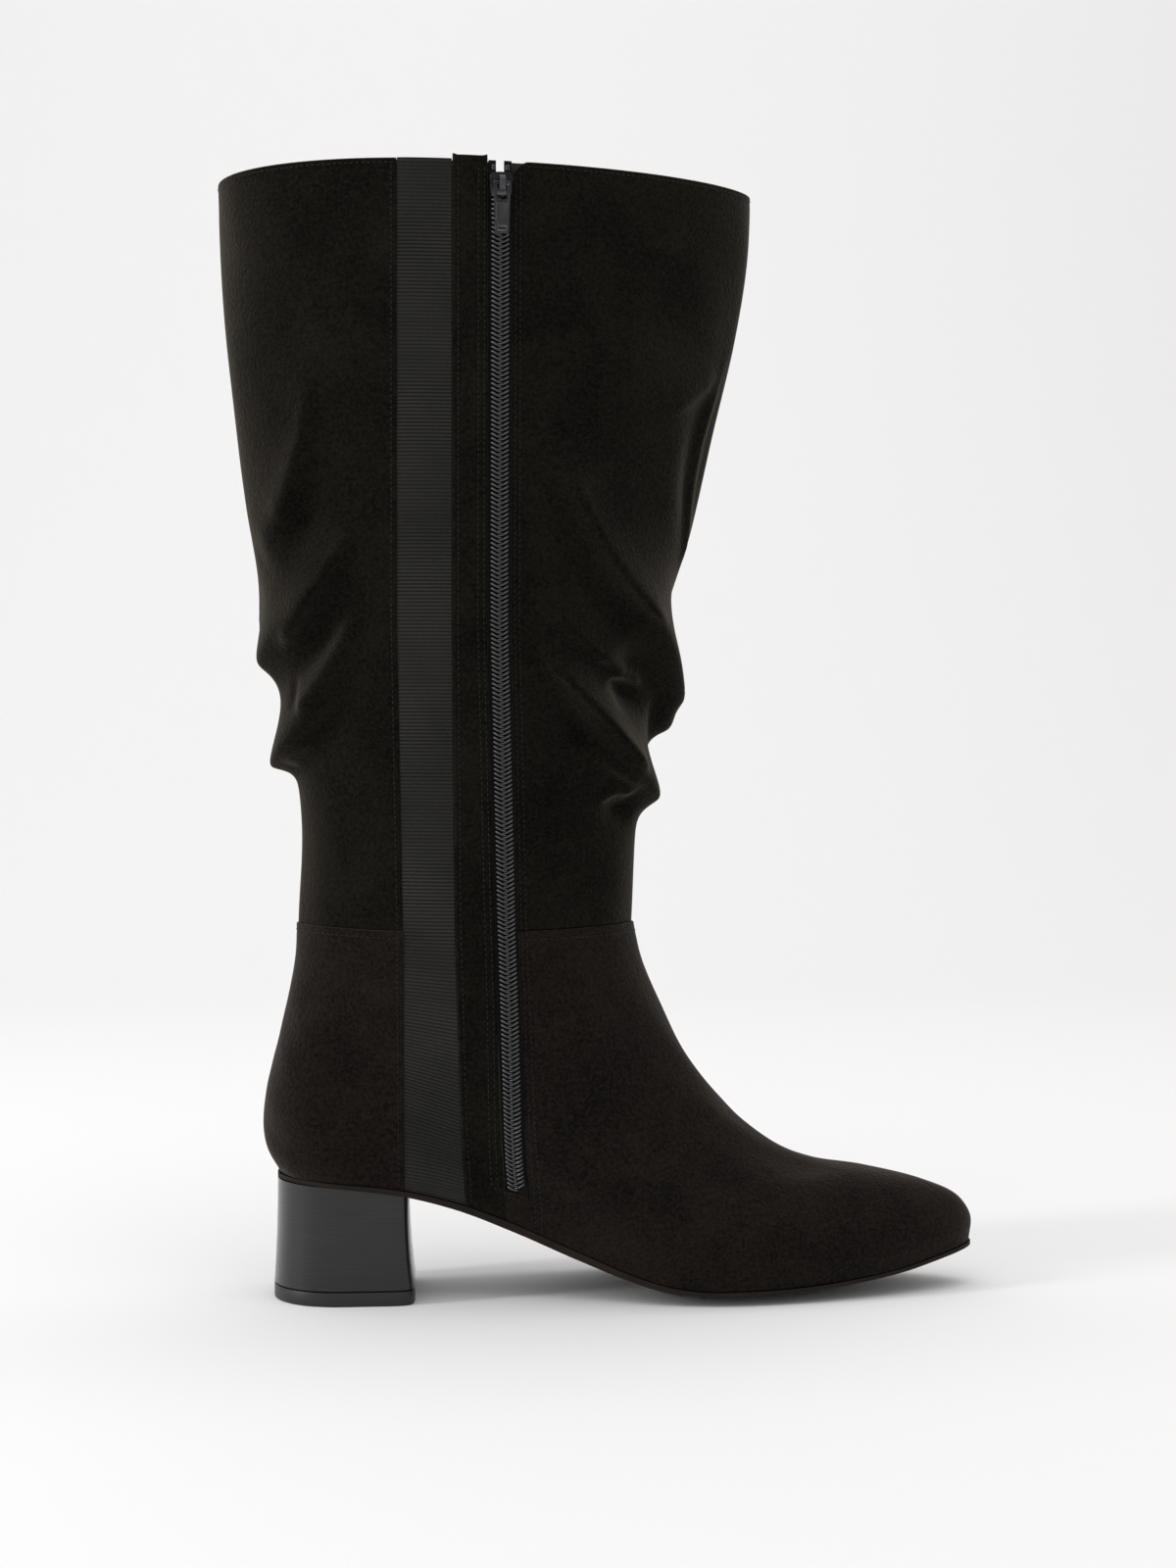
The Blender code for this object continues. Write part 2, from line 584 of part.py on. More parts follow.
def prism(outline, low, high):
    """Vertices and faces of an outline in the XY plane, drawn out from low to high along Z."""
    count = len(outline)
    vertices = [(x, y, z) for z in (low, high) for x, y in outline]
    faces = [tuple(reversed(range(count))), tuple(range(count, 2 * count))]
    for i in range(count):
        j = (i + 1) % count
        faces.append((i, j, count + j, count + i))
    return vertices, faces


def join_to(target, vertices, faces, name, finish, frame):
    """Fuse one more closed shape onto a piece."""
    tool = add_object(name, vertices, faces, finish, frame)
    tool.hide_render = True
    tool.display_type = "WIRE"
    union = target.modifiers.new(name, "BOOLEAN")
    union.operation = "UNION"
    union.solver = "EXACT"
    union.object = tool


def slider_outline(width, length):
    """Shield shape of a slider's plate, wide at its head and narrower at its mouth."""
    shape = ((0.30, -0.50), (0.42, -0.42), (0.42, -0.05), (0.50, 0.15), (0.50, 0.34),
             (0.36, 0.48), (0.12, 0.50))
    side = [(x * width, y * length) for x, y in shape]
    return side + [(-x, y) for x, y in reversed(side)]


def make_slider():
    metal = material("slider_metal", (0.05, 0.05, 0.055), 0.3, 1.0)
    coil_top = -TAPE_DEPTH + TAPE_WALL + GAP + COIL_THICKNESS
    plate_low = coil_top + GAP
    plate_high = plate_low + SLIDER_PLATE
    back_high = -TAPE_DEPTH - GAP
    frame = zip_frame(0.0)
    outline = slider_outline(SLIDER_WIDTH, SLIDER_LENGTH)
    vertices, faces = prism(outline, plate_low, plate_high)
    slider = add_object("zip_slider", vertices, faces, metal, frame, 30)
    narrow = slider_outline(ZIP_OPENING - 4 * GAP, SLIDER_LENGTH * 0.94)
    vertices, faces = prism(narrow, back_high - SLIDER_PLATE, back_high)
    join_to(slider, vertices, faces, "slider_back_plate", metal, frame)
    top = SLIDER_LENGTH / 2 - GAP
    post = [(-POST_WIDTH / 2, top - POST_LENGTH), (POST_WIDTH / 2, top - POST_LENGTH),
            (POST_WIDTH / 2, top), (-POST_WIDTH / 2, top)]
    vertices, faces = prism(post, back_high - SLIDER_PLATE / 2, plate_low + SLIDER_PLATE / 2)
    join_to(slider, vertices, faces, "slider_post", metal, frame)
    clear = TAB_THICKNESS + 2 * PIVOT_CLEARANCE
    inner, outer = BRIDGE_SPAN / 2, BRIDGE_SPAN / 2 + BRIDGE_BAR
    base = plate_high - SLIDER_PLATE / 2
    arch = [(-outer, base), (-inner, base), (-inner, plate_high + clear),
            (inner, plate_high + clear), (inner, base), (outer, base),
            (outer, plate_high + clear + BRIDGE_BAR * 0.4),
            (inner, plate_high + clear + BRIDGE_BAR), (-inner, plate_high + clear + BRIDGE_BAR),
            (-outer, plate_high + clear + BRIDGE_BAR * 0.4)]
    half = BRIDGE_WIDTH / 2
    vertices = [(x, y, z) for x in (-half, half) for y, z in arch]
    count = len(arch)
    faces = [(0, 1, 2, 9), (2, 3, 7, 8), (2, 8, 9), (3, 6, 7), (3, 4, 5, 6)]
    ends = faces + [tuple(count + i for i in reversed(face)) for face in faces]
    sides = [(i, count + i, count + (i + 1) % count, (i + 1) % count) for i in range(count)]
    join_to(slider, vertices, ends + sides, "slider_bridge", metal, frame)
    return plate_high + clear / 2


def make_pull_tab(depth):
    """The tab hangs from the slider's bridge by the bar above its window."""
    metal = material("slider_metal", (0.05, 0.05, 0.055), 0.3, 1.0)
    bar = TAB_THICKNESS / 2
    end = bar - TAB_LENGTH
    window_low = -bar - TAB_WINDOW
    window = BRIDGE_WIDTH / 2 + PIVOT_CLEARANCE + GAP
    wide, narrow = TAB_WIDTH / 2, TAB_END_WIDTH / 2
    waist = mix(wide, narrow, 0.45)
    corner = TAB_END_WIDTH * 0.2
    outer = ((wide - bar, bar), (wide, -bar), (waist, window_low), (narrow, end + corner),
             (narrow - corner, end))
    inner = ((window * 0.9, -bar), (window, -2 * bar), (window, window_low + bar),
             (window * 0.8, window_low), (window * 0.3, window_low))
    loop_out = list(outer) + [(-x, y) for x, y in reversed(outer)]
    loop_in = list(inner) + [(-x, y) for x, y in reversed(inner)]
    count = len(loop_out)
    vertices = []
    for z in (-TAB_THICKNESS / 2, TAB_THICKNESS / 2):
        vertices += [(x, y, z) for x, y in loop_out] + [(x, y, z) for x, y in loop_in]
    faces = []
    for i in range(count):
        j = (i + 1) % count
        low_out, low_in = (i, j), (count + i, count + j)
        faces.append((low_out[0], low_in[0], low_in[1], low_out[1]))
        faces.append((2 * count + i, 2 * count + j, 3 * count + j, 3 * count + i))
        faces.append((i, j, 2 * count + j, 2 * count + i))
        faces.append((count + i, 3 * count + i, 3 * count + j, count + j))
    add_object("zip_pull_tab", vertices, faces, metal, zip_frame(depth), 30)


def outline_edges(grow):
    """Both edges of the sole's outline, toe to heel, moved out by grow: x, y and station."""
    edges = []
    for inner, angle in ((True, inner_angles()), (False, outer_angles())):
        station = (1 - np.cos(angle)) / 2
        x = TOE - station * FOOT_LENGTH
        half = plan_half_width(station, inner)
        along = np.gradient(x, angle)
        away = np.gradient(half, angle)
        length = np.hypot(along, away)
        length[length == 0] = 1
        moved_x = x + grow * away / length
        moved_half = half - grow * along / length
        moved_x[0], moved_x[-1] = TOE + grow, -HEEL_BACK - grow
        moved_half[0] = moved_half[-1] = 0.0
        edges.append(np.stack([moved_x, -moved_half if inner else moved_half, station], axis=-1))
    return edges


def plate(name, edges, top, bottom, across, finish):
    """Closed plate between two edges that meet at the toe and at the heel. top and bottom
    give its heights from the place along it and the place across it (-1 to 1)."""
    inner, outer = edges
    rows = len(inner)
    share = np.linspace(-1, 1, across)
    vertices = []
    index = {}
    for skin, height in (("top", top), ("bottom", bottom)):
        for i in range(rows):
            tips = i in (0, rows - 1)
            for j, q in enumerate([0.0] if tips else share):
                x, y, station = mix(inner[i], outer[i], (q + 1) / 2)
                index[skin, i, j] = len(vertices)
                vertices.append((x, y, float(height(station, abs(q) if not tips else 1.0))))
    faces = []
    for skin, turn in (("top", 1), ("bottom", -1)):
        for i in range(rows - 1):
            for j in range(across - 1):
                if i == 0:
                    face = (index[skin, 0, 0], index[skin, 1, j], index[skin, 1, j + 1])
                elif i == rows - 2:
                    face = (index[skin, i, j + 1], index[skin, i, j], index[skin, i + 1, 0])
                else:
                    face = (index[skin, i, j], index[skin, i + 1, j],
                            index[skin, i + 1, j + 1], index[skin, i, j + 1])
                faces.append(face[::turn])
    for side, turn in ((0, 1), (across - 1, -1)):
        for i in range(rows - 1):
            a = 0 if i == 0 else side
            b = 0 if i + 1 == rows - 1 else side
            face = (index["top", i, a], index["bottom", i, a],
                    index["bottom", i + 1, b], index["top", i + 1, b])
            faces.append(face[::turn])
    return add_object(name, vertices, faces, finish, sharp_degrees=35)


def seat_under(x):
    """Height of the sole's underside above the heel block."""
    return float(sole_bottom(min((TOE - x) / FOOT_LENGTH, 1.0), 1.0))


def sole_top(station, across):
    crown = smooth(EDGE_COLUMNS, EDGE_SECTIONS, "crown", station) * SOLE_CROWN / 2
    return edge_height(station) - GAP - crown * (1 - across ** 2)


def sole_bottom(station, across):
    crown = smooth(EDGE_COLUMNS, EDGE_SECTIONS, "crown", station) * SOLE_CROWN
    edge = SOLE_EDGE + WAIST_EDGE * smooth(EDGE_COLUMNS, EDGE_SECTIONS, "waist", station)
    height = edge_height(station) - GAP - edge - crown * (1 - across ** 2)
    return np.maximum(height, 0.0)


def make_sole():
    rubber = material("sole_rubber", (0.045, 0.035, 0.028), 0.7)
    board = material("insole_lining", (0.16, 0.13, 0.10), 0.8)
    plate("outsole", outline_edges(SOLE_PROUD), sole_top, sole_bottom, 9, rubber)

    def board_bottom(station, across):
        return sole_top(station, across) + GAP

    def board_top(station, across):
        return board_bottom(station, across) + INSOLE_THICKNESS

    plate("insole", outline_edges(-WALL - INSOLE_CLEARANCE), board_top, board_bottom, 5, board)


def heel_ring(count, front, back, width):
    """Heel's outline: flat breast with small corners ahead, broad round back behind."""
    ring = []
    for i in range(count):
        angle = 2 * np.pi * (i + 0.5) / count
        cosine, sine = math.cos(angle), math.sin(angle)
        reach, power = (front, 2 / 9) if cosine > 0 else (-back, 2 / 2.15)
        x = reach * abs(cosine) ** power
        y = math.copysign(width / 2 * abs(sine) ** power, sine)
        ring.append((x, y))
    return ring


def make_heel():
    stack = material("stacked_heel", (0.035, 0.035, 0.036), 0.4)
    rubber = material("top_lift", (0.015, 0.015, 0.015), 0.55)
    count = 36
    rings = 5
    vertices = []
    for i in range(rings):
        high = i / (rings - 1)
        taper = HEEL_TAPER * (1 - (1 - high) ** 2)
        ring = heel_ring(count, HEEL_FRONT - 1.2 * taper, HEEL_REACH - 0.7 * taper,
                         HEEL_WIDTH - 0.5 * taper)
        for x, y in ring:
            top = seat_under(x) - GAP
            vertices.append((x, y, mix(LIFT_THICKNESS, top, high)))
    middle_x = (HEEL_FRONT - HEEL_REACH) / 2
    low, peak = len(vertices), len(vertices) + 1
    vertices.append((middle_x, 0.0, LIFT_THICKNESS))
    vertices.append((middle_x, 0.0, seat_under(middle_x) - GAP))
    faces = []
    for j in range(count):
        k = (j + 1) % count
        faces.append((low, k, j))
        last = (rings - 1) * count
        faces.append((peak, last + j, last + k))
        for i in range(rings - 1):
            faces.append((i * count + j, i * count + k, (i + 1) * count + k, (i + 1) * count + j))
    add_object("heel_block", vertices, faces, stack, sharp_degrees=35)
    ring = heel_ring(count, HEEL_FRONT, HEEL_REACH, HEEL_WIDTH)
    vertices, faces = prism(ring, 0.0, LIFT_THICKNESS - GAP)
    add_object("top_lift", vertices, faces, rubber, sharp_degrees=35)


def main():
    clear_scene()
    make_leg_and_foot()
    make_strips()
    make_zip()
    make_pull_tab(make_slider())
    make_sole()
    make_heel()


main()
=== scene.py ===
import math

import bpy
import numpy as np
from mathutils import Matrix, Vector


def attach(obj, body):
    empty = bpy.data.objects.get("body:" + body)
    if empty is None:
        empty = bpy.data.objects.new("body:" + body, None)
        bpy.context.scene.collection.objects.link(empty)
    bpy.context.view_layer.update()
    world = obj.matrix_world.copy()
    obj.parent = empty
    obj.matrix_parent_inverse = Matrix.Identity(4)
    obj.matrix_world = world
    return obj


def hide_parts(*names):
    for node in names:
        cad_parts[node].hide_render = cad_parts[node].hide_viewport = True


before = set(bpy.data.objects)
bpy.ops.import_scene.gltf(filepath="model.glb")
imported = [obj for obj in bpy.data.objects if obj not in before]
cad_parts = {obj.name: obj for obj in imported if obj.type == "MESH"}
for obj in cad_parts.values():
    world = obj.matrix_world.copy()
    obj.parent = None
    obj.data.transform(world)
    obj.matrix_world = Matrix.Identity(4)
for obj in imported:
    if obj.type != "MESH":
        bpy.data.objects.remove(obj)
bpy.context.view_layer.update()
print("frame loaded:", len(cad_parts), "solids")

mm = 0.001

# Sizes of the last and the leg, in metres, the same as the solids carry
boot = {
    "footLength": 0.2655, "heelBack": 0.0250, "ballWidth": 0.0770, "seatHeight": 0.0470,
    "ballEdgeHeight": 0.0058, "toeSpring": 0.0112, "counterSwell": 0.0080, "barrel": 0.0035,
    "ankleHeight": 0.1410, "ankleFront": 0.1090, "ankleBack": 0.0177, "ankleWidth": 0.0680,
    "seamDip": 0.0022, "collarHeight": 0.4190, "collarFront": 0.1550, "collarBack": 0.0480,
    "collarWidth": 0.0950, "wall": 0.0018, "seamStep": 0.0007, "gap": 0.0003,
    "foldLift": 0.0100, "foldDroop": 0.45,
}
toeX = boot["footLength"] - boot["heelBack"]
toeEdgeHeight = boot["ballEdgeHeight"] + boot["toeSpring"]
shaftLength = boot["collarHeight"] - boot["ankleHeight"]
counterHeight = boot["ankleHeight"] - boot["seatHeight"]
# girth of the leg, 1.1 times its two widths at the collar, as a share of its length
girthShare = 1.1 * (boot["collarFront"] + boot["collarBack"] + boot["collarWidth"]) / shaftLength

# Strips on the inner side, from the heel forwards: gore, facing and zip
strip = {
    "goreOffset": 0.0196, "goreWidth": 0.0198, "facingWidth": 0.0131, "facingProud": 0.0015,
    "zipOpening": 0.0090, "zipLean": 0.0076, "zipEndHeight": 0.0404, "tapeWall": 0.0007,
    "tapeDepth": 0.0015,
}

# Leg: height 0 is the ankle seam and 1 the collar; the rest are shares of the sizes above
legSections = {
    "columns": ("height", "front", "back", "width", "widest", "point"),
    "rows": (
        (0.00, 0.00, 0.00, 0.00, 0.52, 1.00),
        (0.13, 0.04, -0.04, 0.04, 0.52, 1.01),
        (0.27, 0.13, 0.13, 0.15, 0.53, 1.03),
        (0.40, 0.25, 0.38, 0.30, 0.55, 1.08),
        (0.54, 0.52, 0.62, 0.47, 0.57, 1.15),
        (0.67, 0.69, 0.78, 0.64, 0.59, 1.22),
        (0.80, 0.87, 0.91, 0.80, 0.61, 1.27),
        (0.93, 0.99, 0.97, 0.94, 0.62, 1.30),
        (1.00, 1.00, 1.00, 1.00, 0.62, 1.30),
    ),
}

# Foot: level 0 is the ankle seam and 1 the sole's edge
footSections = {
    "columns": ("level", "reach", "rise", "drop", "swell", "sag", "plan", "barrel"),
    "rows": (
        (0.00, 0.000, 1.000, 1.00, 0.00, 0.00, 0.00, 0.00),
        (0.10, 0.030, 0.875, 0.88, 0.03, 0.03, 0.06, 0.02),
        (0.20, 0.082, 0.742, 0.76, 0.15, 0.08, 0.16, 0.06),
        (0.30, 0.155, 0.597, 0.64, 0.35, 0.16, 0.30, 0.12),
        (0.40, 0.262, 0.448, 0.53, 0.61, 0.27, 0.46, 0.22),
        (0.45, 0.318, 0.385, 0.48, 0.71, 0.33, 0.54, 0.29),
        (0.50, 0.400, 0.320, 0.43, 0.79, 0.40, 0.62, 0.36),
        (0.60, 0.545, 0.255, 0.33, 0.97, 0.55, 0.75, 0.56),
        (0.70, 0.700, 0.229, 0.24, 1.00, 0.70, 0.86, 0.78),
        (0.80, 0.858, 0.190, 0.15, 0.85, 0.84, 0.93, 0.95),
        (0.90, 0.975, 0.124, 0.07, 0.52, 0.94, 0.98, 0.92),
        (0.95, 1.004, 0.068, 0.03, 0.25, 0.98, 1.00, 0.62),
        (1.00, 1.000, 0.000, 0.00, 0.00, 1.00, 1.00, 0.00),
    ),
}

# Sole's outline from the toe (0) to the heel (1), as shares of half the ball's width
planSections = {
    "columns": ("station", "medial", "lateral"),
    "rows": (
        (0.00, 0.80, 0.80), (0.06, 0.82, 0.85), (0.12, 0.88, 0.92), (0.20, 0.94, 1.04),
        (0.30, 1.00, 1.09), (0.38, 0.99, 1.07), (0.46, 0.89, 1.00), (0.56, 0.71, 0.89),
        (0.66, 0.64, 0.84), (0.76, 0.74, 0.87), (0.86, 0.96, 1.00), (0.93, 1.25, 1.25),
        (1.00, 1.42, 1.42),
    ),
}

# Line where the upper meets the sole, and the sole's thickness and rounding along it
edgeSections = {
    "columns": ("station", "spring", "seat", "waist", "crown"),
    "rows": (
        (0.00, 1.00, 0.000, 0.0, 0.10), (0.05, 0.74, 0.000, 0.0, 0.30),
        (0.11, 0.44, 0.000, 0.0, 0.55), (0.17, 0.24, 0.000, 0.0, 0.75),
        (0.23, 0.10, 0.000, 0.0, 0.88), (0.29, 0.03, 0.000, 0.0, 0.96),
        (0.35, 0.00, 0.000, 0.0, 1.00), (0.41, 0.00, 0.004, 0.1, 1.00),
        (0.45, 0.00, 0.035, 0.3, 0.92), (0.50, 0.00, 0.125, 0.6, 0.70),
        (0.58, 0.00, 0.330, 1.0, 0.40), (0.67, 0.00, 0.580, 1.0, 0.15),
        (0.75, 0.00, 0.778, 0.7, 0.05), (0.82, 0.00, 0.890, 0.3, 0.00),
        (0.91, 0.00, 0.965, 0.0, 0.00), (1.00, 0.00, 1.000, 0.0, 0.00),
    ),
}

# Edges of the strips on the inner side, as shares of the zip's lean
stripSections = {
    "columns": ("level", "goreBack", "goreFront", "zip"),
    "rows": ((0.0, 0.00, 0.00, 0.00), (0.6, 0.00, 0.02, 0.00),
             (1.0, 0.28, 0.17, 0.36), (2.0, 0.37, 0.72, 1.00)),
}

# Folds: round is 0 at the front, 0.25 on the inner side and 0.5 at the back; high is 0 at the
# ankle seam and 1 at the collar; lift is a share of foldLift; above and below are the reach of
# each side; crest is how much of the fold is a narrow ridge along its top
foldColumns = ("round1", "high1", "round2", "high2", "round3", "high3",
               "lift", "peak", "above", "below", "crest")
folds = {
    "upperFrontRoll": (0.182, 0.600, 0.080, 0.420, -0.060, 0.315, 1.05, 0.76, 0.041, 0.036, 0.12),
    "upperFrontTuck": (0.140, 0.300, 0.100, 0.335, 0.020, 0.300, -0.40, 0.50, 0.030, 0.030, 0.0),
    "innerFrontRidge": (0.205, 0.560, 0.160, 0.430, 0.090, 0.350, 0.32, 0.50, 0.036, 0.034, 0.2),
    "lowerFrontRoll": (0.200, 0.440, 0.125, 0.268, -0.050, 0.158, 0.82, 0.74, 0.040, 0.028, 0.12),
    "lowerFrontTuck": (0.140, 0.145, 0.100, 0.160, 0.030, 0.140, -0.22, 0.50, 0.026, 0.026, 0.0),
    "frontPleat": (0.040, 0.830, 0.042, 0.640, 0.000, 0.450, -0.18, 0.60, 0.050, 0.050, 0.0),
    "backHighRidge": (0.370, 0.680, 0.400, 0.570, 0.450, 0.480, 0.32, 0.55, 0.045, 0.036, 0.2),
    "backMiddleRidge": (0.350, 0.520, 0.405, 0.425, 0.530, 0.345, 0.62, 0.74, 0.046, 0.034, 0.15),
    "backRoll": (0.335, 0.410, 0.400, 0.290, 0.530, 0.212, 0.92, 0.74, 0.046, 0.022, 0.12),
    "outerFrontRoll": (-0.220, 0.520, -0.120, 0.360, 0.020, 0.270, 0.95, 0.78, 0.050, 0.034, 0.12),
    "outerFrontLow": (-0.230, 0.380, -0.150, 0.250, -0.010, 0.170, 0.60, 0.60, 0.045, 0.030, 0.1),
    "outerSideRidge": (-0.310, 0.520, -0.250, 0.400, -0.180, 0.330, 0.40, 0.50, 0.050, 0.040, 0.2),
    "outerBackRidge": (-0.340, 0.560, -0.410, 0.430, -0.500, 0.370, 0.50, 0.65, 0.055, 0.036, 0.2),
    "outerBackRoll": (-0.310, 0.400, -0.390, 0.285, -0.490, 0.212, 0.80, 0.70, 0.046, 0.024, 0.1),
}

# Finer creases: sharp upper edges of the folds, the hollows under them and the lips of their ends
creases = {
    "frontUpperLine": (0.200, 0.65, 0.15, 0.505, 0.07, 0.42, 0.48, 0.5, 0.019, 0.012, 0.34),
    "frontUpperHollow": (0.200, 0.57, 0.165, 0.47, 0.10, 0.39, -0.44, 0.55, 0.022, 0.024, 0.0),
    "frontInnerLine": (0.200, 0.46, 0.15, 0.38, 0.06, 0.32, 0.36, 0.45, 0.018, 0.013, 0.26),
    "frontHookLip": (0.135, 0.32, 0.10, 0.34, 0.05, 0.315, 0.24, 0.45, 0.012, 0.010, 0.22),
    "frontHookHollow": (0.125, 0.305, 0.09, 0.31, 0.04, 0.29, -0.30, 0.5, 0.012, 0.018, 0.0),
    "frontLowerLine": (0.195, 0.37, 0.14, 0.30, 0.06, 0.215, 0.43, 0.6, 0.019, 0.012, 0.34),
    "frontLowerHollow": (0.185, 0.31, 0.145, 0.265, 0.10, 0.225, -0.38, 0.5, 0.020, 0.022, 0.0),
    "frontChinLine": (0.160, 0.24, 0.115, 0.22, 0.055, 0.185, 0.22, 0.55, 0.013, 0.011, 0.22),
    "frontLowHookLip": (0.125, 0.16, 0.095, 0.18, 0.06, 0.175, 0.23, 0.5, 0.010, 0.010, 0.22),
    "frontLowHookHollow": (0.115, 0.14, 0.08, 0.155, 0.04, 0.15, -0.22, 0.5, 0.012, 0.016, 0.0),
    "frontPleatLine": (0.030, 0.80, 0.045, 0.62, 0.01, 0.47, 0.14, 0.6, 0.014, 0.012, 0.22),
    "frontPleatHollow": (0.050, 0.78, 0.065, 0.64, 0.03, 0.49, -0.16, 0.6, 0.022, 0.020, 0.0),
    "highFrontFold": (0.120, 0.68, 0.09, 0.715, 0.04, 0.75, 0.20, 0.6, 0.020, 0.016, 0.1),
    "frontFan": (0.205, 0.56, 0.175, 0.47, 0.14, 0.39, 0.14, 0.5, 0.022, 0.018, 0.0),
    "frontLowFan": (0.205, 0.42, 0.18, 0.36, 0.15, 0.33, 0.14, 0.5, 0.018, 0.016, 0.0),
    "frontShoulder": (0.215, 0.72, 0.18, 0.61, 0.14, 0.54, 0.20, 0.6, 0.040, 0.030, 0.0),
    "backHighLine": (0.365, 0.73, 0.38, 0.62, 0.41, 0.53, 0.31, 0.6, 0.019, 0.012, 0.34),
    "backHighHollow": (0.365, 0.62, 0.385, 0.54, 0.41, 0.47, -0.34, 0.55, 0.020, 0.022, 0.0),
    "backMiddleLine": (0.340, 0.53, 0.375, 0.45, 0.43, 0.37, 0.38, 0.45, 0.019, 0.012, 0.34),
    "backMiddleHollow": (0.340, 0.46, 0.375, 0.385, 0.435, 0.325, -0.36, 0.55, 0.020, 0.022, 0.0),
    "backLowLine": (0.335, 0.425, 0.375, 0.345, 0.415, 0.30, 0.30, 0.45, 0.019, 0.012, 0.34),
    "backLowHollow": (0.355, 0.33, 0.385, 0.285, 0.425, 0.245, -0.24, 0.5, 0.016, 0.018, 0.0),
    "backLip": (0.460, 0.215, 0.43, 0.24, 0.40, 0.255, 0.19, 0.5, 0.010, 0.010, 0.22),
    "backSmallCrease": (0.415, 0.345, 0.42, 0.32, 0.425, 0.29, -0.12, 0.5, 0.008, 0.008, 0.0),
    "backRimFold": (0.355, 0.875, 0.365, 0.845, 0.38, 0.815, 0.10, 0.5, 0.030, 0.026, 0.0),
    "frontRimFold": (0.165, 0.915, 0.14, 0.905, 0.115, 0.895, 0.10, 0.5, 0.030, 0.026, 0.0),
    "frontPanelWave": (0.175, 0.80, 0.14, 0.72, 0.12, 0.62, 0.24, 0.5, 0.045, 0.045, 0.0),
    "backPanelWave": (0.345, 0.80, 0.36, 0.72, 0.37, 0.64, 0.22, 0.5, 0.040, 0.040, 0.0),
    "outerHighLine": (-0.200, 0.65, -0.14, 0.54, -0.08, 0.46, 0.26, 0.5, 0.020, 0.012, 0.22),
    "outerLine": (-0.200, 0.515, -0.125, 0.395, -0.06, 0.32, 0.36, 0.5, 0.019, 0.012, 0.34),
    "outerLowLine": (-0.210, 0.385, -0.14, 0.27, -0.06, 0.215, 0.34, 0.5, 0.019, 0.012, 0.34),
    "outerBackLine": (-0.330, 0.53, -0.385, 0.42, -0.44, 0.37, 0.31, 0.5, 0.019, 0.012, 0.34),
    "outerBackLowLine": (-0.320, 0.395, -0.38, 0.315, -0.44, 0.265, 0.30, 0.5, 0.018, 0.012, 0.22),
    "outerHighHollow": (-0.195, 0.57, -0.15, 0.48, -0.09, 0.40, -0.28, 0.5, 0.022, 0.024, 0.0),
    "outerHollow": (-0.260, 0.45, -0.22, 0.36, -0.17, 0.28, -0.26, 0.5, 0.030, 0.026, 0.0),
    "outerBackHollow": (-0.345, 0.46, -0.39, 0.37, -0.44, 0.31, -0.26, 0.5, 0.022, 0.020, 0.0),
    "outerPanelWave": (-0.270, 0.80, -0.24, 0.70, -0.22, 0.60, 0.16, 0.5, 0.050, 0.050, 0.0),
}


# Soft forms: the tables read as smooth curves
def tableColumn(table, name):
    return np.array([row[table["columns"].index(name)] for row in table["rows"]])


def readTable(table, name, share):
    stops = tableColumn(table, table["columns"][0])
    values = tableColumn(table, name)
    share = np.clip(share, stops[0], stops[-1])
    slopes = np.gradient(values, stops)
    place = np.clip(np.searchsorted(stops, share, side="right") - 1, 0, len(stops) - 2)
    step = stops[place + 1] - stops[place]
    u = (share - stops[place]) / step
    leanIn, leanOut = slopes[place] * step, slopes[place + 1] * step
    return (values[place] * (1 + 2 * u) * (1 - u) ** 2 + leanIn * u * (1 - u) ** 2
            + values[place + 1] * u ** 2 * (3 - 2 * u) - leanOut * u ** 2 * (1 - u))


def mix(first, second, share):
    return first + (second - first) * share


def ease(share):
    share = np.clip(share, 0, 1)
    return share * share * (3 - 2 * share)


def quarterRound(share):
    # 1 at an edge, falling to 0 in a quarter circle
    return 1 - np.sqrt(np.clip(1 - (1 - np.clip(share, 0, 1)) ** 2, 0, 1))


def walked(points):
    # Distance from the first point along a line of points, or along each row of a grid
    steps = np.linalg.norm(np.diff(points, axis=-2), axis=-1)
    return np.insert(np.cumsum(steps, axis=-1), 0, 0.0, axis=-1)


def edgeHeight(station):
    spring = readTable(edgeSections, "spring", station)
    seat = readTable(edgeSections, "seat", station)
    return (boot["ballEdgeHeight"] + spring * boot["toeSpring"]
            + seat * (boot["seatHeight"] - boot["ballEdgeHeight"]))


def planHalfWidth(station, inner):
    medial = readTable(planSections, "medial", station)
    lateral = readTable(planSections, "lateral", station)
    rounding = 2 * np.sqrt(np.clip(station * (1 - station), 0, 1))
    return np.where(inner, medial, lateral) * rounding * boot["ballWidth"] / 2


def legHalfWidth(high, share):
    width = mix(boot["ankleWidth"], boot["collarWidth"], readTable(legSections, "width", high))
    widest = readTable(legSections, "widest", high)
    point = readTable(legSections, "point", high)
    ahead = share < widest
    reach = np.where(ahead, (widest - share) / widest, (share - widest) / (1 - widest))
    power = np.where(ahead, point, 1.0) / 2
    return width / 2 * np.clip(1 - reach ** 2, 0, 1) ** power


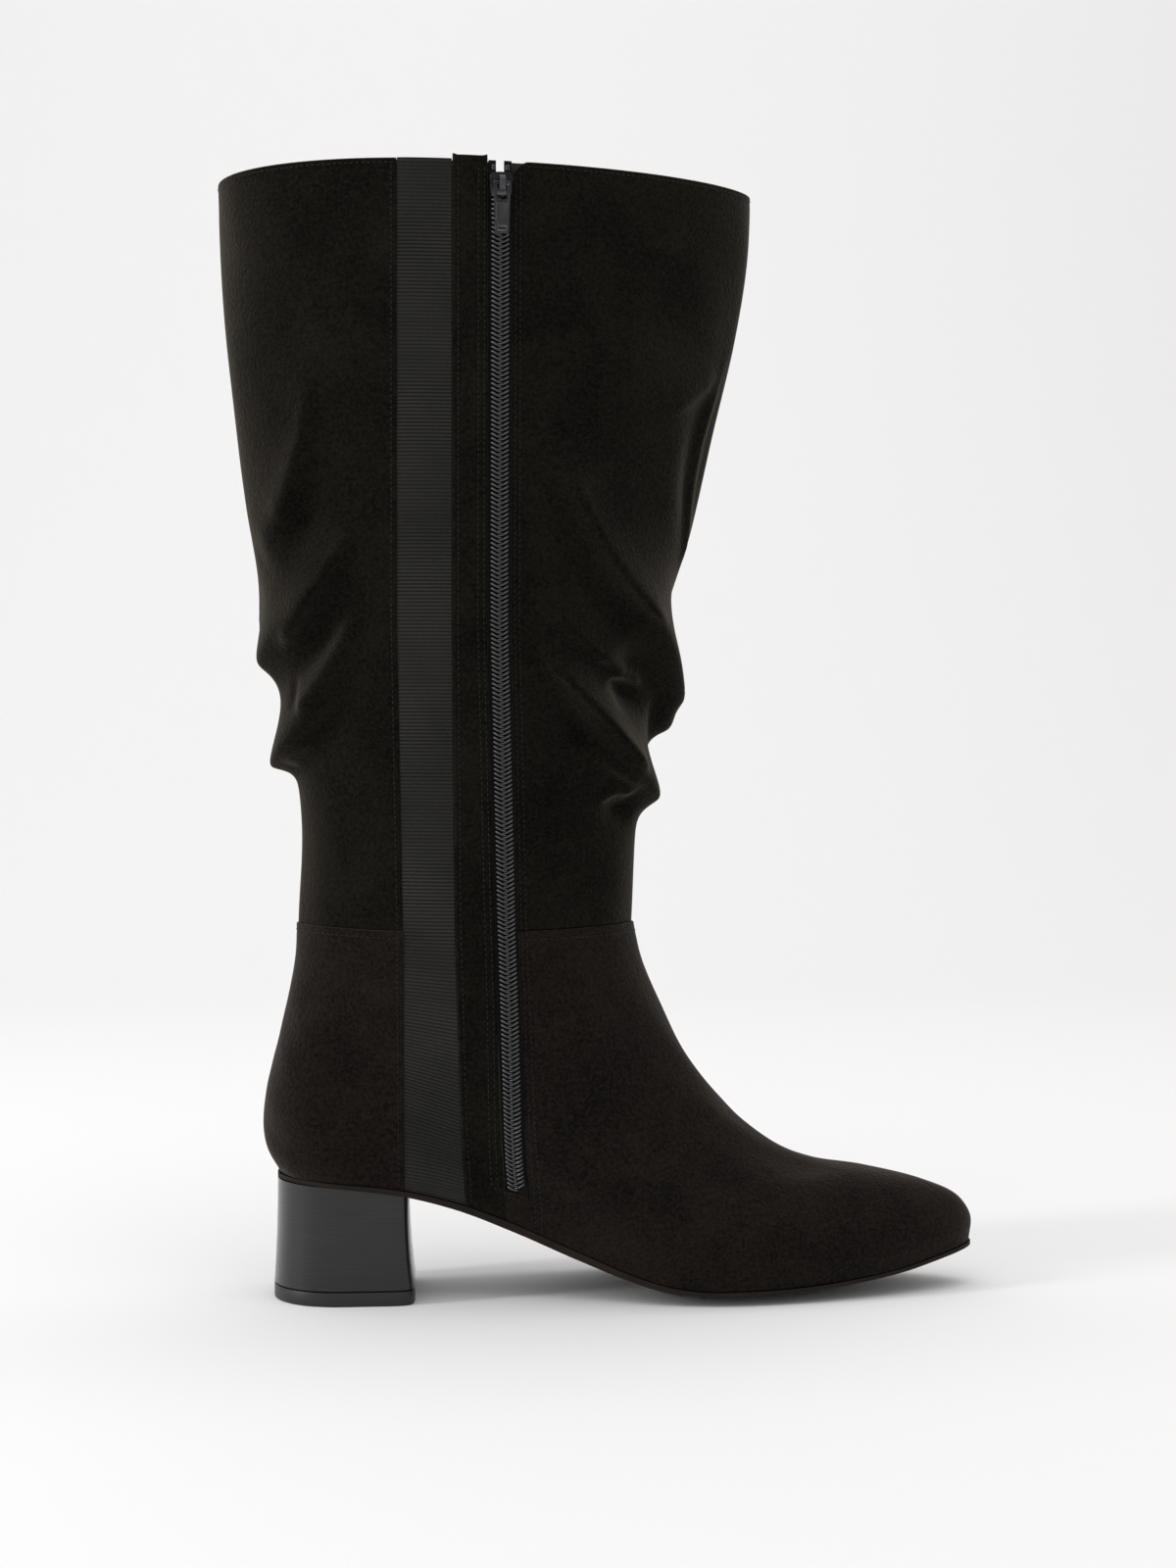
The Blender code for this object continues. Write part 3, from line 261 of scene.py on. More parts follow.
def sectionEnds(level):
    high = np.clip(1 - level, 0, 1)
    low = np.clip(level - 1, 0, 1)
    frontX = mix(boot["ankleFront"], boot["collarFront"], readTable(legSections, "front", high))
    backX = -mix(boot["ankleBack"], boot["collarBack"], readTable(legSections, "back", high))
    legZ = mix(boot["ankleHeight"], boot["collarHeight"], 1 - level)
    inLeg = level <= 1
    footFrontX = mix(boot["ankleFront"], toeX, readTable(footSections, "reach", low))
    footFrontZ = mix(toeEdgeHeight, boot["ankleHeight"], readTable(footSections, "rise", low))
    footBackX = (-mix(boot["ankleBack"], boot["heelBack"], low)
                 - boot["counterSwell"] * readTable(footSections, "swell", low))
    footBackZ = mix(boot["seatHeight"], boot["ankleHeight"], readTable(footSections, "drop", low))
    return (np.where(inLeg, frontX, footFrontX), np.where(inLeg, legZ, footFrontZ),
            np.where(inLeg, backX, footBackX), np.where(inLeg, legZ, footBackZ))


def baseSurface(level, angle):
    level, angle = np.broadcast_arrays(level, angle)
    share = (1 - np.cos(angle)) / 2
    inner = np.sin(angle) > 0
    low = np.clip(level - 1, 0, 1)
    frontX, frontZ, backX, backZ = sectionEnds(level)
    x = mix(frontX, backX, share)
    chord = mix(toeEdgeHeight, boot["seatHeight"], share)
    sag = readTable(footSections, "sag", low) * (edgeHeight(share) - chord)
    nearSeam = np.clip(1 - abs(level - 1) / 0.5, 0, 1) ** 2
    z = mix(frontZ, backZ, share) + sag - 4 * share * (1 - share) * boot["seamDip"] * nearSeam
    plan = readTable(footSections, "plan", low)
    barrel = readTable(footSections, "barrel", low)
    rounding = 2 * np.sqrt(np.clip(share * (1 - share), 0, 1))
    leg = legHalfWidth(np.clip(1 - level, 0, 1), share)
    half = mix(leg, planHalfWidth(share, inner), plan) + boot["barrel"] * barrel * rounding
    return np.stack([x, np.where(inner, -half, half), z], axis=-1)


def baseNormal(level, angle):
    step = 1e-4
    along = baseSurface(level + step, angle) - baseSurface(level - step, angle)
    around = baseSurface(level, angle + step) - baseSurface(level, angle - step)
    normal = np.cross(around, along)
    return normal / np.linalg.norm(normal, axis=-1, keepdims=True)


def stripPlace(level, name):
    # How far the gore's edges or the zip's middle lie in front of the heel's middle
    lean = np.interp(level, tableColumn(stripSections, "level"), tableColumn(stripSections, name))
    goreFront = strip["goreOffset"] + strip["goreWidth"]
    start = {"goreBack": strip["goreOffset"], "goreFront": goreFront,
             "zip": goreFront + strip["facingWidth"] + strip["zipOpening"] / 2}[name]
    return start + strip["zipLean"] * lean


def angleAt(level, x):
    frontX, _, backX, _ = sectionEnds(level)
    share = np.clip((frontX - x) / (frontX - backX), 0, 1)
    return np.arccos(1 - 2 * share)


def stripFade(level, angle, reach=1.6):
    # The stiff gore and zip hold the folds down; reach is in widths of the gore
    frontX, _, backX, _ = sectionEnds(level)
    x = mix(frontX, backX, (1 - np.cos(angle)) / 2)
    ahead = x - (stripPlace(level, "zip") + strip["zipOpening"])
    behind = stripPlace(level, "goreBack") - x
    away = ease(np.maximum(ahead, behind) / (reach * strip["goreWidth"]))
    return np.where(np.sin(angle) > 0, away, 1.0)


# Every fold: steps along its path, how many widths away it is still felt, how narrow its crest
# is beside the whole ridge and how soon that makes its ends rise, and where the folds fade out
# at the ankle seam and the collar
foldForm = {"steps": 32, "felt": 3, "crestWidth": 0.38, "crestEnds": 4, "seamFade": 0.08,
            "collarFade": 0.10}


def addFold(total, fold, place, high):
    # One ridge or trough along a bent path, wider or narrower to each side
    size = dict(zip(foldColumns, fold))
    t = np.linspace(0, 1, foldForm["steps"] + 1)
    start, middle, end = (1 - t) * (1 - 2 * t), 4 * t * (1 - t), t * (2 * t - 1)
    pathX = girthShare * (start * size["round1"] + middle * size["round2"] + end * size["round3"])
    pathY = start * size["high1"] + middle * size["high2"] + end * size["high3"]
    centre = (pathX.min() + pathX.max()) / 2 / girthShare
    # the nearest of the turns round the leg
    x = girthShare * ((place - centre + 0.5) % 1.0 - 0.5 + centre)
    reach = foldForm["felt"] * max(size["above"], size["below"])
    near = ((x > pathX.min() - reach) & (x < pathX.max() + reach)
            & (high > pathY.min() - reach) & (high < pathY.max() + reach))
    x, y = x[near], high[near]
    best = np.full(x.shape, 1e9)
    bestT = np.zeros(x.shape)
    side = np.zeros(x.shape)
    for i in range(len(t) - 1):
        stepX, stepY = pathX[i + 1] - pathX[i], pathY[i + 1] - pathY[i]
        u = ((x - pathX[i]) * stepX + (y - pathY[i]) * stepY) / (stepX ** 2 + stepY ** 2)
        u = np.clip(u, 0, 1)
        offX, offY = x - pathX[i] - u * stepX, y - pathY[i] - u * stepY
        distance = offX ** 2 + offY ** 2
        closer = distance < best
        best[closer] = distance[closer]
        bestT[closer] = (t[i] + u * (t[i + 1] - t[i]))[closer]
        side[closer] = offY[closer]
    rise = np.where(bestT < size["peak"], bestT / size["peak"],
                    (1 - bestT) / (1 - size["peak"]))
    spread = np.where(side > 0, size["above"], size["below"])
    distance = np.sqrt(best) / spread
    bump = (1 - size["crest"]) * np.exp(-distance ** 2)
    bump += size["crest"] * np.exp(-(distance / foldForm["crestWidth"]) ** 2)
    total[near] += size["lift"] * ease(rise * (1 + foldForm["crestEnds"] * size["crest"])) * bump


def foldHeight(level, angle, table, reach):
    high = 1 - level
    total = np.zeros(level.shape)
    for fold in table.values():
        addFold(total, fold, angle / (2 * np.pi), high)
    total *= stripFade(level, angle, reach)
    return (total * np.clip(high / foldForm["seamFade"], 0, 1)
            * np.clip((1 - high) / foldForm["collarFade"], 0, 1))


def softWaves(level, angle, size):
    # Slow, shallow unevenness of soft cloth, the same on every run
    high = 1 - level
    wave = (np.sin(7.3 * angle + 4.1 * np.sin(5.2 * high + 1.3))
            + 0.7 * np.sin(13.1 * angle - 17.0 * high + 2.0 * np.sin(9.0 * high))
            + 0.5 * np.sin(23.0 * high + 5.0 * np.sin(3.0 * angle)))
    return size * wave * np.clip((1 - high) / 0.05, 0, 1)


# Each table with the reach of its fade beside the strips and how far its ridges hang down, as a
# share of their lift; the lining follows the folds and the hollows, not the sharp lines
hollows = {name: fold for name, fold in creases.items() if fold[foldColumns.index("lift")] < 0}
allFolds = ((folds, 1.6, boot["foldDroop"]), (creases, 0.55, boot["foldDroop"]))
liningFolds = ((folds, 1.6, boot["foldDroop"]), (hollows, 0.7, 0.0))


def surface(level, angle, tables=allFolds, waves=0.18 * mm):
    level, angle = np.broadcast_arrays(np.asarray(level, float), np.asarray(angle, float))
    point = baseSurface(level, angle)
    normal = baseNormal(level, angle)
    inLeg = level < 1
    lift = np.zeros(level.shape)
    droop = np.zeros(level.shape)
    if inLeg.any():
        for table, reach, hang in tables:
            part = boot["foldLift"] * foldHeight(level[inLeg], angle[inLeg], table, reach)
            lift[inLeg] += part
            droop[inLeg] -= hang * np.clip(part, 0, None)
    lift = lift + softWaves(level, angle, waves) * stripFade(level, angle)
    point = point + normal * lift[..., None]
    point[..., 2] += droop
    return point, normal


# Tools for materials and meshes
def linear(code):
    # sRGB hex to the linear colour and alpha that a shader takes
    channels = [int(code[i:i + 2], 16) / 255 for i in (1, 3, 5)]
    return (*(c / 12.92 if c <= 0.04045 else ((c + 0.055) / 1.055) ** 2.4 for c in channels), 1)


def addNode(material, kind, inputs, into=None, **settings):
    # inputs maps a socket's name or number to a value or to the output that feeds it; the new
    # node's first output in use feeds the socket given as into
    node = material.node_tree.nodes.new("ShaderNode" + kind)
    for key, value in settings.items():
        setattr(node, key, value)
    for key, value in inputs.items():
        if isinstance(value, bpy.types.NodeSocket):
            material.node_tree.links.new(value, node.inputs[key])
        else:
            node.inputs[key].default_value = value
    if into:
        material.node_tree.links.new(next(o for o in node.outputs if o.enabled), into)
    return node.outputs


def newMaterial(name, code, roughness, metallic=0.0, **sockets):
    # The material, its shader's sockets and its texture coordinates
    made = bpy.data.materials.new(name)
    made.use_nodes = True
    shader = made.node_tree.nodes["Principled BSDF"].inputs
    shader["Base Color"].default_value = linear(code)
    shader["Roughness"].default_value = roughness
    shader["Metallic"].default_value = metallic
    for socket, value in sockets.items():
        shader[socket.replace("_", " ")].default_value = value
    return made, shader, addNode(made, "TexCoord", {})


def newPiece(name, vertices, faces, material, body, slotName, nodes=(), sharpDegrees=60, uv=None):
    mesh = bpy.data.meshes.new(name)
    mesh.from_pydata(np.asarray(vertices, float).tolist(), [], faces)
    if uv is not None:
        layer = mesh.uv_layers.new(name="along")
        corners = np.empty(len(mesh.loops), dtype=np.int32)
        mesh.loops.foreach_get("vertex_index", corners)
        layer.data.foreach_set("uv", np.asarray(uv, float)[corners].ravel())
    mesh.validate()
    mesh.shade_smooth()
    mesh.set_sharp_from_angle(angle=math.radians(sharpDegrees))
    mesh.materials.append(material)
    made = bpy.data.objects.new(name, mesh)
    bpy.context.scene.collection.objects.link(made)
    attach(made, body)
    if nodes:
        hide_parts(*nodes)
    return made


def turnOut(vertices, faces):
    # Faces turned so that the closed mesh's volume is positive
    fans = np.array([(face[0], face[i], face[i + 1]) for face in faces
                     for i in range(1, len(face) - 1)])
    a, b, c = (np.asarray(vertices, float)[fans[:, i]] for i in range(3))
    return faces if np.sum(a * np.cross(b, c)) > 0 else [face[::-1] for face in faces]


def gridFaces(rows, columns, start=0, flip=False):
    i, j = np.meshgrid(np.arange(rows - 1), np.arange(columns - 1), indexing="ij")
    a = (start + i * columns + j).ravel()
    quads = np.stack([a, a + 1, a + columns + 1, a + columns], axis=1)
    return quads[:, ::-1] if flip else quads


def ringFaces(rings, sides):
    # Quads between rings that have the same number of points and follow one another
    return [(i * sides + j, i * sides + (j + 1) % sides, (i + 1) * sides + (j + 1) % sides,
             (i + 1) * sides + j) for i in range(rings - 1) for j in range(sides)]


def cappedRings(rings):
    # Closed form through rings, with one flat face at each end
    sides = len(rings[0])
    last = (len(rings) - 1) * sides
    faces = ringFaces(len(rings), sides)
    faces += [tuple(range(sides))[::-1], tuple(range(last, last + sides))]
    vertices = np.concatenate(rings)
    return vertices, turnOut(vertices, faces)


def joined(parts):
    vertices, faces, start = [], [], 0
    for some, rings in parts:
        vertices.append(np.asarray(some, float))
        faces += [tuple(start + v for v in face) for face in rings]
        start += len(some)
    return np.concatenate(vertices), faces


def roundEdges(made, width, segments, degrees):
    edge = made.modifiers.new("roundedEdges", "BEVEL")
    edge.width = width
    edge.segments = segments
    edge.limit_method = "ANGLE"
    edge.angle_limit = math.radians(degrees)


def closedWall(outer, inner):
    # Vertices and faces of a wall between two grids of the same shape
    rows, columns = outer.shape[:2]
    count = rows * columns
    vertices = np.concatenate([outer.reshape(-1, 3), inner.reshape(-1, 3)])
    border = ([(0, j) for j in range(columns)] + [(i, columns - 1) for i in range(1, rows)]
              + [(rows - 1, j) for j in range(columns - 2, -1, -1)]
              + [(i, 0) for i in range(rows - 2, 0, -1)])
    ring = np.array([i * columns + j for i, j in border])
    after = np.roll(ring, -1)
    rim = np.stack([after, ring, ring + count, after + count], axis=1)
    faces = np.concatenate([gridFaces(rows, columns), gridFaces(rows, columns, count, True), rim])
    u = np.broadcast_to(np.linspace(0, 1, columns), (rows, columns)).ravel()
    v = np.broadcast_to(np.linspace(0, 1, rows)[:, None], (rows, columns)).ravel()
    uv = np.tile(np.stack([u, v], axis=1), (2, 1))
    return vertices, faces.tolist(), uv


def onGrid(heights, shape):
    # Heights given one for each level, or one for each grid point
    heights = np.asarray(heights, float)
    return np.broadcast_to(heights if heights.ndim == 2 else heights[:, None], shape)[..., None]


def wallPiece(name, levels, angles, outside, inside, material, slotName, nodes=(),
              roundRim=0.0, tables=allFolds):
    # outside and inside are heights off the surface
    levels = np.asarray(levels, float)
    if levels.ndim == 1:
        levels = levels[:, None] * np.ones_like(angles)
    point, normal = surface(levels, angles, tables)
    outer = point + normal * onGrid(outside, levels.shape)
    inner = point + normal * onGrid(inside, levels.shape)
    if roundRim:
        # the first rows curl over towards the middle of the wall, as a turned edge does
        curl = quarterRound((levels - levels[:1]) * shaftLength / roundRim)[..., None]
        middle = (outer + inner) / 2
        outer = outer + (middle - outer) * curl * wallSize["rimCurl"]
        inner = inner + (middle - inner) * curl * wallSize["rimCurl"]
    vertices, faces, uv = closedWall(outer, inner)
    return newPiece(name, vertices, turnOut(vertices, faces), material, "boot", slotName,
                    nodes, 70, uv)


# Where walls begin and end
def levelAt(x, height):
    levels = np.linspace(1.0, 2.0, 400)
    heights = baseSurface(levels, angleAt(levels, x))[..., 2]
    return float(np.interp(-height, -heights, levels))


zipEndLevel = levelAt(stripPlace(2.0, "zip"), strip["zipEndHeight"])
zipEndStep = 1.5 * boot["gap"] / (boot["ankleHeight"] - strip["zipEndHeight"])


def frontEdge(levels):
    besideZip = stripPlace(levels, "zip") + strip["zipOpening"] / 2
    besideFacing = stripPlace(levels, "zip") - strip["zipOpening"] / 2 + boot["gap"] / 2
    return np.where(levels > zipEndLevel + zipEndStep, besideFacing, besideZip)


def wrapAngles(first, last, ahead, outerColumns, behind):
    # Columns from the zip over the front, along the outer side and then behind to the gore
    share = np.linspace(0, 1, outerColumns + 1)
    side = -np.pi * (share + 0.04 * np.sin(2 * np.pi * share))  # closer at the side
    side = np.broadcast_to(side, (len(first), len(share)))
    behind = mix(-np.pi, last[:, None] - 2 * np.pi, behind[None, 1:])
    return np.concatenate([first[:, None] * ahead[None, :-1], side, behind], axis=1)


def liningAngles(levels):
    # The lining goes on behind the gore to the zip's other edge
    size = liningSize
    zipAt = stripPlace(levels, "zip")
    reach = strip["zipOpening"] / 2 - size["lap"]
    return wrapAngles(angleAt(levels, zipAt + reach), angleAt(levels, zipAt - reach),
                      np.linspace(1, 0, size["frontColumns"] + 1), size["outerColumns"],
                      np.linspace(0, 1, size["backColumns"] + 1))


def stripAngles(levels, start, end, columns):
    first = angleAt(levels, start)
    last = angleAt(levels, end)
    return mix(first[:, None], last[:, None], np.linspace(0, 1, columns)[None, :])


def footLevels(start, end, count):
    # Closer together towards the sole, where the toe and the heel turn under
    share = np.linspace(0, 1, count)
    return start + (end - start) * (0.55 * share + 0.45 * (1 - (1 - share) ** 2))


# A wave texture repeats each 0.314 of its coordinate when its scale is 1
waveStep = 0.314


# Suede-like microfibre: a dense brushed pile on woven cloth, dyed black. It has no gloss; the
# pile catches light on every edge that turns away, and where it was stroked the other way it is
# a little lighter.
def makeSuede(name="brushedMicrofibreSuede", code="#070605", lit="#1c1a16", nap="#b8b0a4"):
    suede, shader, place = newMaterial(name, code, 0.92, Sheen_Weight=0.38, Sheen_Roughness=0.42,
                                       Specular_IOR_Level=0.0)
    shader["Sheen Tint"].default_value = linear(nap)
    tuftStep = 1.21  # mm, drawn coarser than the real pile of about 0.5 mm so that it shows
    stroked = addNode(suede, "TexNoise", {"Vector": place["Object"], "Scale": 1 / (34 * mm),
                                          "Detail": 4.0, "Roughness": 0.55, "Distortion": 0.6})
    tufts = addNode(suede, "TexNoise", {"Vector": place["Object"], "Scale": 1 / (tuftStep * mm),
                                        "Detail": 3.0, "Roughness": 0.62})
    grain = addNode(suede, "TexNoise", {"Vector": place["Object"], "Scale": 1 / (2.6 * mm),
                                        "Detail": 4.0, "Roughness": 0.6, "Distortion": 0.4})
    blend = addNode(suede, "Math", {0: stroked["Fac"], 1: 0.52, 2: tufts["Fac"]},
                    operation="MULTIPLY_ADD")
    tone = addNode(suede, "MapRange", {"Value": blend[0], "From Min": 0.45, "From Max": 1.05},
                   interpolation_type="SMOOTHSTEP")
    addNode(suede, "Mix", {0: tone[0], 6: linear(code), 7: linear(lit)}, shader["Base Color"],
            data_type="RGBA")
    height = addNode(suede, "Math", {0: grain["Fac"], 1: 0.6, 2: tufts["Fac"]},
                     operation="MULTIPLY_ADD")
    addNode(suede, "Bump", {"Height": height[0], "Strength": 0.9, "Distance": 0.45 * mm},
            shader["Normal"])
    return suede


# Tricot lining: a fine warp knit in black polyester, matt and flat under the hand
def makeLining():
    lining, shader, place = newMaterial("warpKnitLining", "#1b1a19", 0.85, Sheen_Weight=0.2,
                                        Sheen_Roughness=0.5)
    girth, waleStep = 400, 3.6  # mm; real wales are under 1 mm apart and wouldn't show
    wales = addNode(lining, "TexWave", {"Vector": place["UV"], "Scale": waveStep * girth / waleStep,
                                        "Distortion": 1.5, "Detail": 2.0}, bands_direction="X")
    fuzz = addNode(lining, "TexNoise", {"Vector": place["Object"], "Scale": 1 / (0.8 * mm),
                                        "Detail": 3.0})
    height = addNode(lining, "Math", {0: fuzz["Fac"], 1: 0.5, 2: wales["Fac"]},
                     operation="MULTIPLY_ADD")
    addNode(lining, "Bump", {"Height": height[0], "Strength": 0.4, "Distance": 0.12 * mm},
            shader["Normal"])
    return lining


# Knitted elastic webbing: rubber threads covered in black polyester, knitted in ribs across the
# band, a shade greyer and duller than the suede beside it, with painted shade, near black, in the
# grooves between the ribs
def makeWebbing():
    webbing, shader, place = newMaterial("knittedElasticWebbing", "#262826", 0.8,
                                         Sheen_Weight=0.08, Sheen_Roughness=0.45,
                                         Specular_IOR_Level=0.2)
    ribs = int(webbingSize["length"] / webbingSize["ribPitch"])
    courses = addNode(webbing, "TexWave", {"Vector": place["UV"], "Distortion": 0.0,
                                           "Scale": waveStep * webbingSize["loops"]},
                      bands_direction="X", wave_profile="SIN")
    yarn = addNode(webbing, "TexNoise", {"Vector": place["Object"], "Scale": 1 / (0.7 * mm),
                                         "Detail": 3.0, "Roughness": 0.65})
    worn = addNode(webbing, "TexNoise", {"Vector": place["Object"], "Scale": 1 / (45 * mm),
                                         "Detail": 2.0})
    patches = addNode(webbing, "Math", {0: worn["Fac"], 1: 0.9}, operation="MULTIPLY")
    mixed = addNode(webbing, "Math", {0: yarn["Fac"], 1: 0.6, 2: patches[0]},
                    operation="MULTIPLY_ADD")
    tone = addNode(webbing, "MapRange", {"Value": mixed[0], "From Min": 0.5, "From Max": 1.0})
    colour = addNode(webbing, "Mix", {0: tone[0], 6: linear("#181813"), 7: linear("#302f2b")},
                     data_type="RGBA")
    grooves = addNode(webbing, "TexWave", {"Vector": place["UV"], "Scale": waveStep * ribs,
                                           "Distortion": 0.0, "Phase Offset": -math.pi / 2},
                      bands_direction="Y")
    # painted shade: the grooves between the ribs are coloured near black
    paintedGrooveShade = addNode(webbing, "MapRange", {"Value": grooves["Fac"], "From Min": 0.1,
                                          "From Max": 0.6, "To Min": 0.85, "To Max": 0.0})
    addNode(webbing, "Mix", {0: paintedGrooveShade[0], 6: colour[2], 7: linear("#050505")},
            shader["Base Color"], data_type="RGBA")
    height = addNode(webbing, "Math", {0: courses["Fac"], 1: 0.7, 2: yarn["Fac"]},
                     operation="MULTIPLY_ADD")
    addNode(webbing, "Bump", {"Height": height[0], "Strength": 0.6, "Distance": 0.15 * mm},
            shader["Normal"])
    return webbing


# Woven zip tape: black polyester in a herringbone, matt
def makeTape():
    tape, shader, place = newMaterial("wovenPolyesterTape", "#090909", 0.85,
                                      Specular_IOR_Level=0.2)
    weave = addNode(tape, "TexWave", {"Vector": place["Object"], "Scale": waveStep / (0.8 * mm),
                                      "Distortion": 1.0, "Detail": 1.0}, bands_direction="Z")
    addNode(tape, "Bump", {"Height": weave["Fac"], "Strength": 0.5, "Distance": 0.12 * mm},
            shader["Normal"])
    return tape


# Zip coil: polyester monofilament, drawn and heat-set, dyed dark; its round back throws a
# small bright glint from each turn
def makeCoilPlastic():
    coil, shader, place = newMaterial("drawnPolyesterCoil", "#121314", 0.24, IOR=1.55,
                                      Specular_IOR_Level=0.8, Coat_Weight=0.35,
                                      Coat_Roughness=0.15)
    rubbedAndHighlight = addNode(coil, "TexNoise", {"Vector": place["Object"], "Scale": 1 / (5 * mm),
                                        "Detail": 2.0})
    addNode(coil, "MapRange", {"Value": rubbedAndHighlight["Fac"], "To Min": 0.2, "To Max": 0.42},
            shader["Roughness"])
    return coil


# Slider and tab: die-cast zinc under gunmetal-black lacquer, smooth, with small hammer marks of
# the mould and a painted highlight: its sharp edges are coloured lighter
def makeLacqueredZinc(name, plain, rubbedAndHighlight):
    zinc, shader, place = newMaterial(name, plain, 0.3, metallic=0.85, Coat_Weight=0.2,
                                      Coat_Roughness=0.15)
    cast = addNode(zinc, "TexNoise", {"Vector": place["Object"], "Scale": 1 / (1.2 * mm),
                                      "Detail": 3.0})
    addNode(zinc, "MapRange", {"Value": cast["Fac"], "To Min": 0.22, "To Max": 0.4},
            shader["Roughness"])
    # painted highlight: the sharp edges, found by their pointiness, take the lighter colour
    form = addNode(zinc, "NewGeometry", {})
    edges = addNode(zinc, "MapRange", {"Value": form["Pointiness"], "From Min": 0.52,
                                       "From Max": 0.62})
    addNode(zinc, "Mix", {0: edges[0], 6: linear(plain), 7: linear(rubbedAndHighlight)},
            shader["Base Color"], data_type="RGBA")
    addNode(zinc, "Bump", {"Height": cast["Fac"], "Strength": 0.15, "Distance": 0.05 * mm},
            shader["Normal"])
    return zinc


# Sewing thread: bonded polyester, three plies, black but shinier than the pile, so the rows
# read as fine light dots
def makeThread():
    thread, shader, place = newMaterial("bondedPolyesterThread", "#11100f", 0.5,
                                        Specular_IOR_Level=0.35)
    plies = addNode(thread, "TexNoise", {"Vector": place["Object"], "Scale": 1 / (0.35 * mm),
                                         "Detail": 1.0})
    addNode(thread, "Bump", {"Height": plies["Fac"], "Strength": 0.3, "Distance": 0.05 * mm},
            shader["Normal"])
    return thread


# Sole: injection-moulded thermoplastic rubber, dark brown-grey, with a faint mould grain
def makeSoleRubber():
    sole, shader, place = newMaterial("mouldedSoleRubber", "#241812", 0.7,
                                      Specular_IOR_Level=0.2)
    grain = addNode(sole, "TexNoise", {"Vector": place["Object"], "Scale": 1 / (0.9 * mm),
                                       "Detail": 4.0})
    dust = addNode(sole, "TexNoise", {"Vector": place["Object"], "Scale": 1 / (18 * mm),
                                      "Detail": 3.0})
    tone = addNode(sole, "MapRange", {"Value": dust["Fac"], "From Min": 0.35, "From Max": 0.7})
    addNode(sole, "Mix", {0: tone[0], 6: linear("#100c0a"), 7: linear("#221812")},
            shader["Base Color"], data_type="RGBA")
    addNode(sole, "Bump", {"Height": grain["Fac"], "Strength": 0.35, "Distance": 0.08 * mm},
            shader["Normal"])
    return sole


# Heel cover: a sheet printed and pressed like stacked leather, sanded and waxed, dark charcoal
# with fine wavy layers and a satin gloss
def makeStackedHeel():
    stack, shader, place = newMaterial("waxedStackedHeel", "#1b1919", 0.42, Coat_Weight=0.75,
                                       Coat_Roughness=0.2, Specular_IOR_Level=0.12)
    layerPitch = 1.5  # mm, one layer of the stack
    waver = addNode(stack, "TexNoise", {"Vector": place["Object"], "Scale": 1 / (26 * mm),
                                        "Detail": 2.0})
    apart = addNode(stack, "SeparateXYZ", {0: place["Object"]})
    shifted = addNode(stack, "Math", {0: waver["Fac"], 1: 5.0 * mm, 2: apart["Z"]},
                      operation="MULTIPLY_ADD")
    layerAt = addNode(stack, "CombineXYZ", {"Z": shifted[0]})
    layers = addNode(stack, "TexWave", {"Vector": layerAt[0], "Distortion": 0.0,
                                        "Scale": waveStep / (layerPitch * mm)},
                     bands_direction="Z", wave_profile="SAW")
    # fibres about 17 mm long and 0.7 mm thick
    stretched = addNode(stack, "Mapping", {"Vector": place["Object"],
                                           "Scale": (60.0, 60.0, 1500.0)})
    fibre = addNode(stack, "TexNoise", {"Vector": stretched[0], "Scale": 1.0, "Detail": 5.0,
                                        "Roughness": 0.6, "Distortion": 0.3})
    both = addNode(stack, "Math", {0: layers["Fac"], 1: 0.3, 2: fibre["Fac"]},
                   operation="MULTIPLY_ADD")
    tone = addNode(stack, "MapRange", {"Value": both[0], "From Min": 0.4, "From Max": 0.95})
    addNode(stack, "Mix", {0: tone[0], 6: linear("#080707"), 7: linear("#1a1717")},
            shader["Base Color"], data_type="RGBA")
    addNode(stack, "MapRange", {"Value": fibre["Fac"], "To Min": 0.32, "To Max": 0.5},
            shader["Roughness"])
    addNode(stack, "Bump", {"Height": both[0], "Strength": 0.3, "Distance": 0.06 * mm},
            shader["Normal"])
    return stack


# Top lift: cast polyurethane, near black, hard and a little glossy from the mould
def makeLiftPlastic():
    lift, shader, place = newMaterial("castPolyurethaneLift", "#161616", 0.45, IOR=1.5)
    grain = addNode(lift, "TexNoise", {"Vector": place["Object"], "Scale": 1 / (1.5 * mm),
                                       "Detail": 4.0})
    addNode(lift, "MapRange", {"Value": grain["Fac"], "To Min": 0.36, "To Max": 0.56},
            shader["Roughness"])
    addNode(lift, "Bump", {"Height": grain["Fac"], "Strength": 0.2, "Distance": 0.05 * mm},
            shader["Normal"])
    return lift


# Insole sock: smooth coated microfibre, dark grey, with a fine pebbled grain
def makeSock():
    sock, shader, place = newMaterial("coatedMicrofibreSock", "#2a2826", 0.6,
                                      Specular_IOR_Level=0.4)
    grain = addNode(sock, "TexVoronoi", {"Vector": place["Object"], "Scale": 1 / (1.1 * mm)})
    addNode(sock, "Bump", {"Height": grain["Distance"], "Strength": 0.3, "Distance": 0.08 * mm},
            shader["Normal"])
    return sock


# the ribs run across the band, 1.3 mm apart
webbingSize = {"ribPitch": 1.3 * mm, "ribHeight": 0.36 * mm, "foldedTop": 1.6 * mm,
               "thickness": 1.3 * mm, "crown": 0.12 * mm, "loops": 24, "columns": 15,
               "rowsPerRib": 5, "length": shaftLength + counterHeight}

suede = makeSuede()
footHide = makeSuede("brushedMicrofibreFoot", "#0a0908", "#221e1b", "#bab0ab")
liningKnit = makeLining()
webbing = makeWebbing()
zipTape = makeTape()
coilPlastic = makeCoilPlastic()
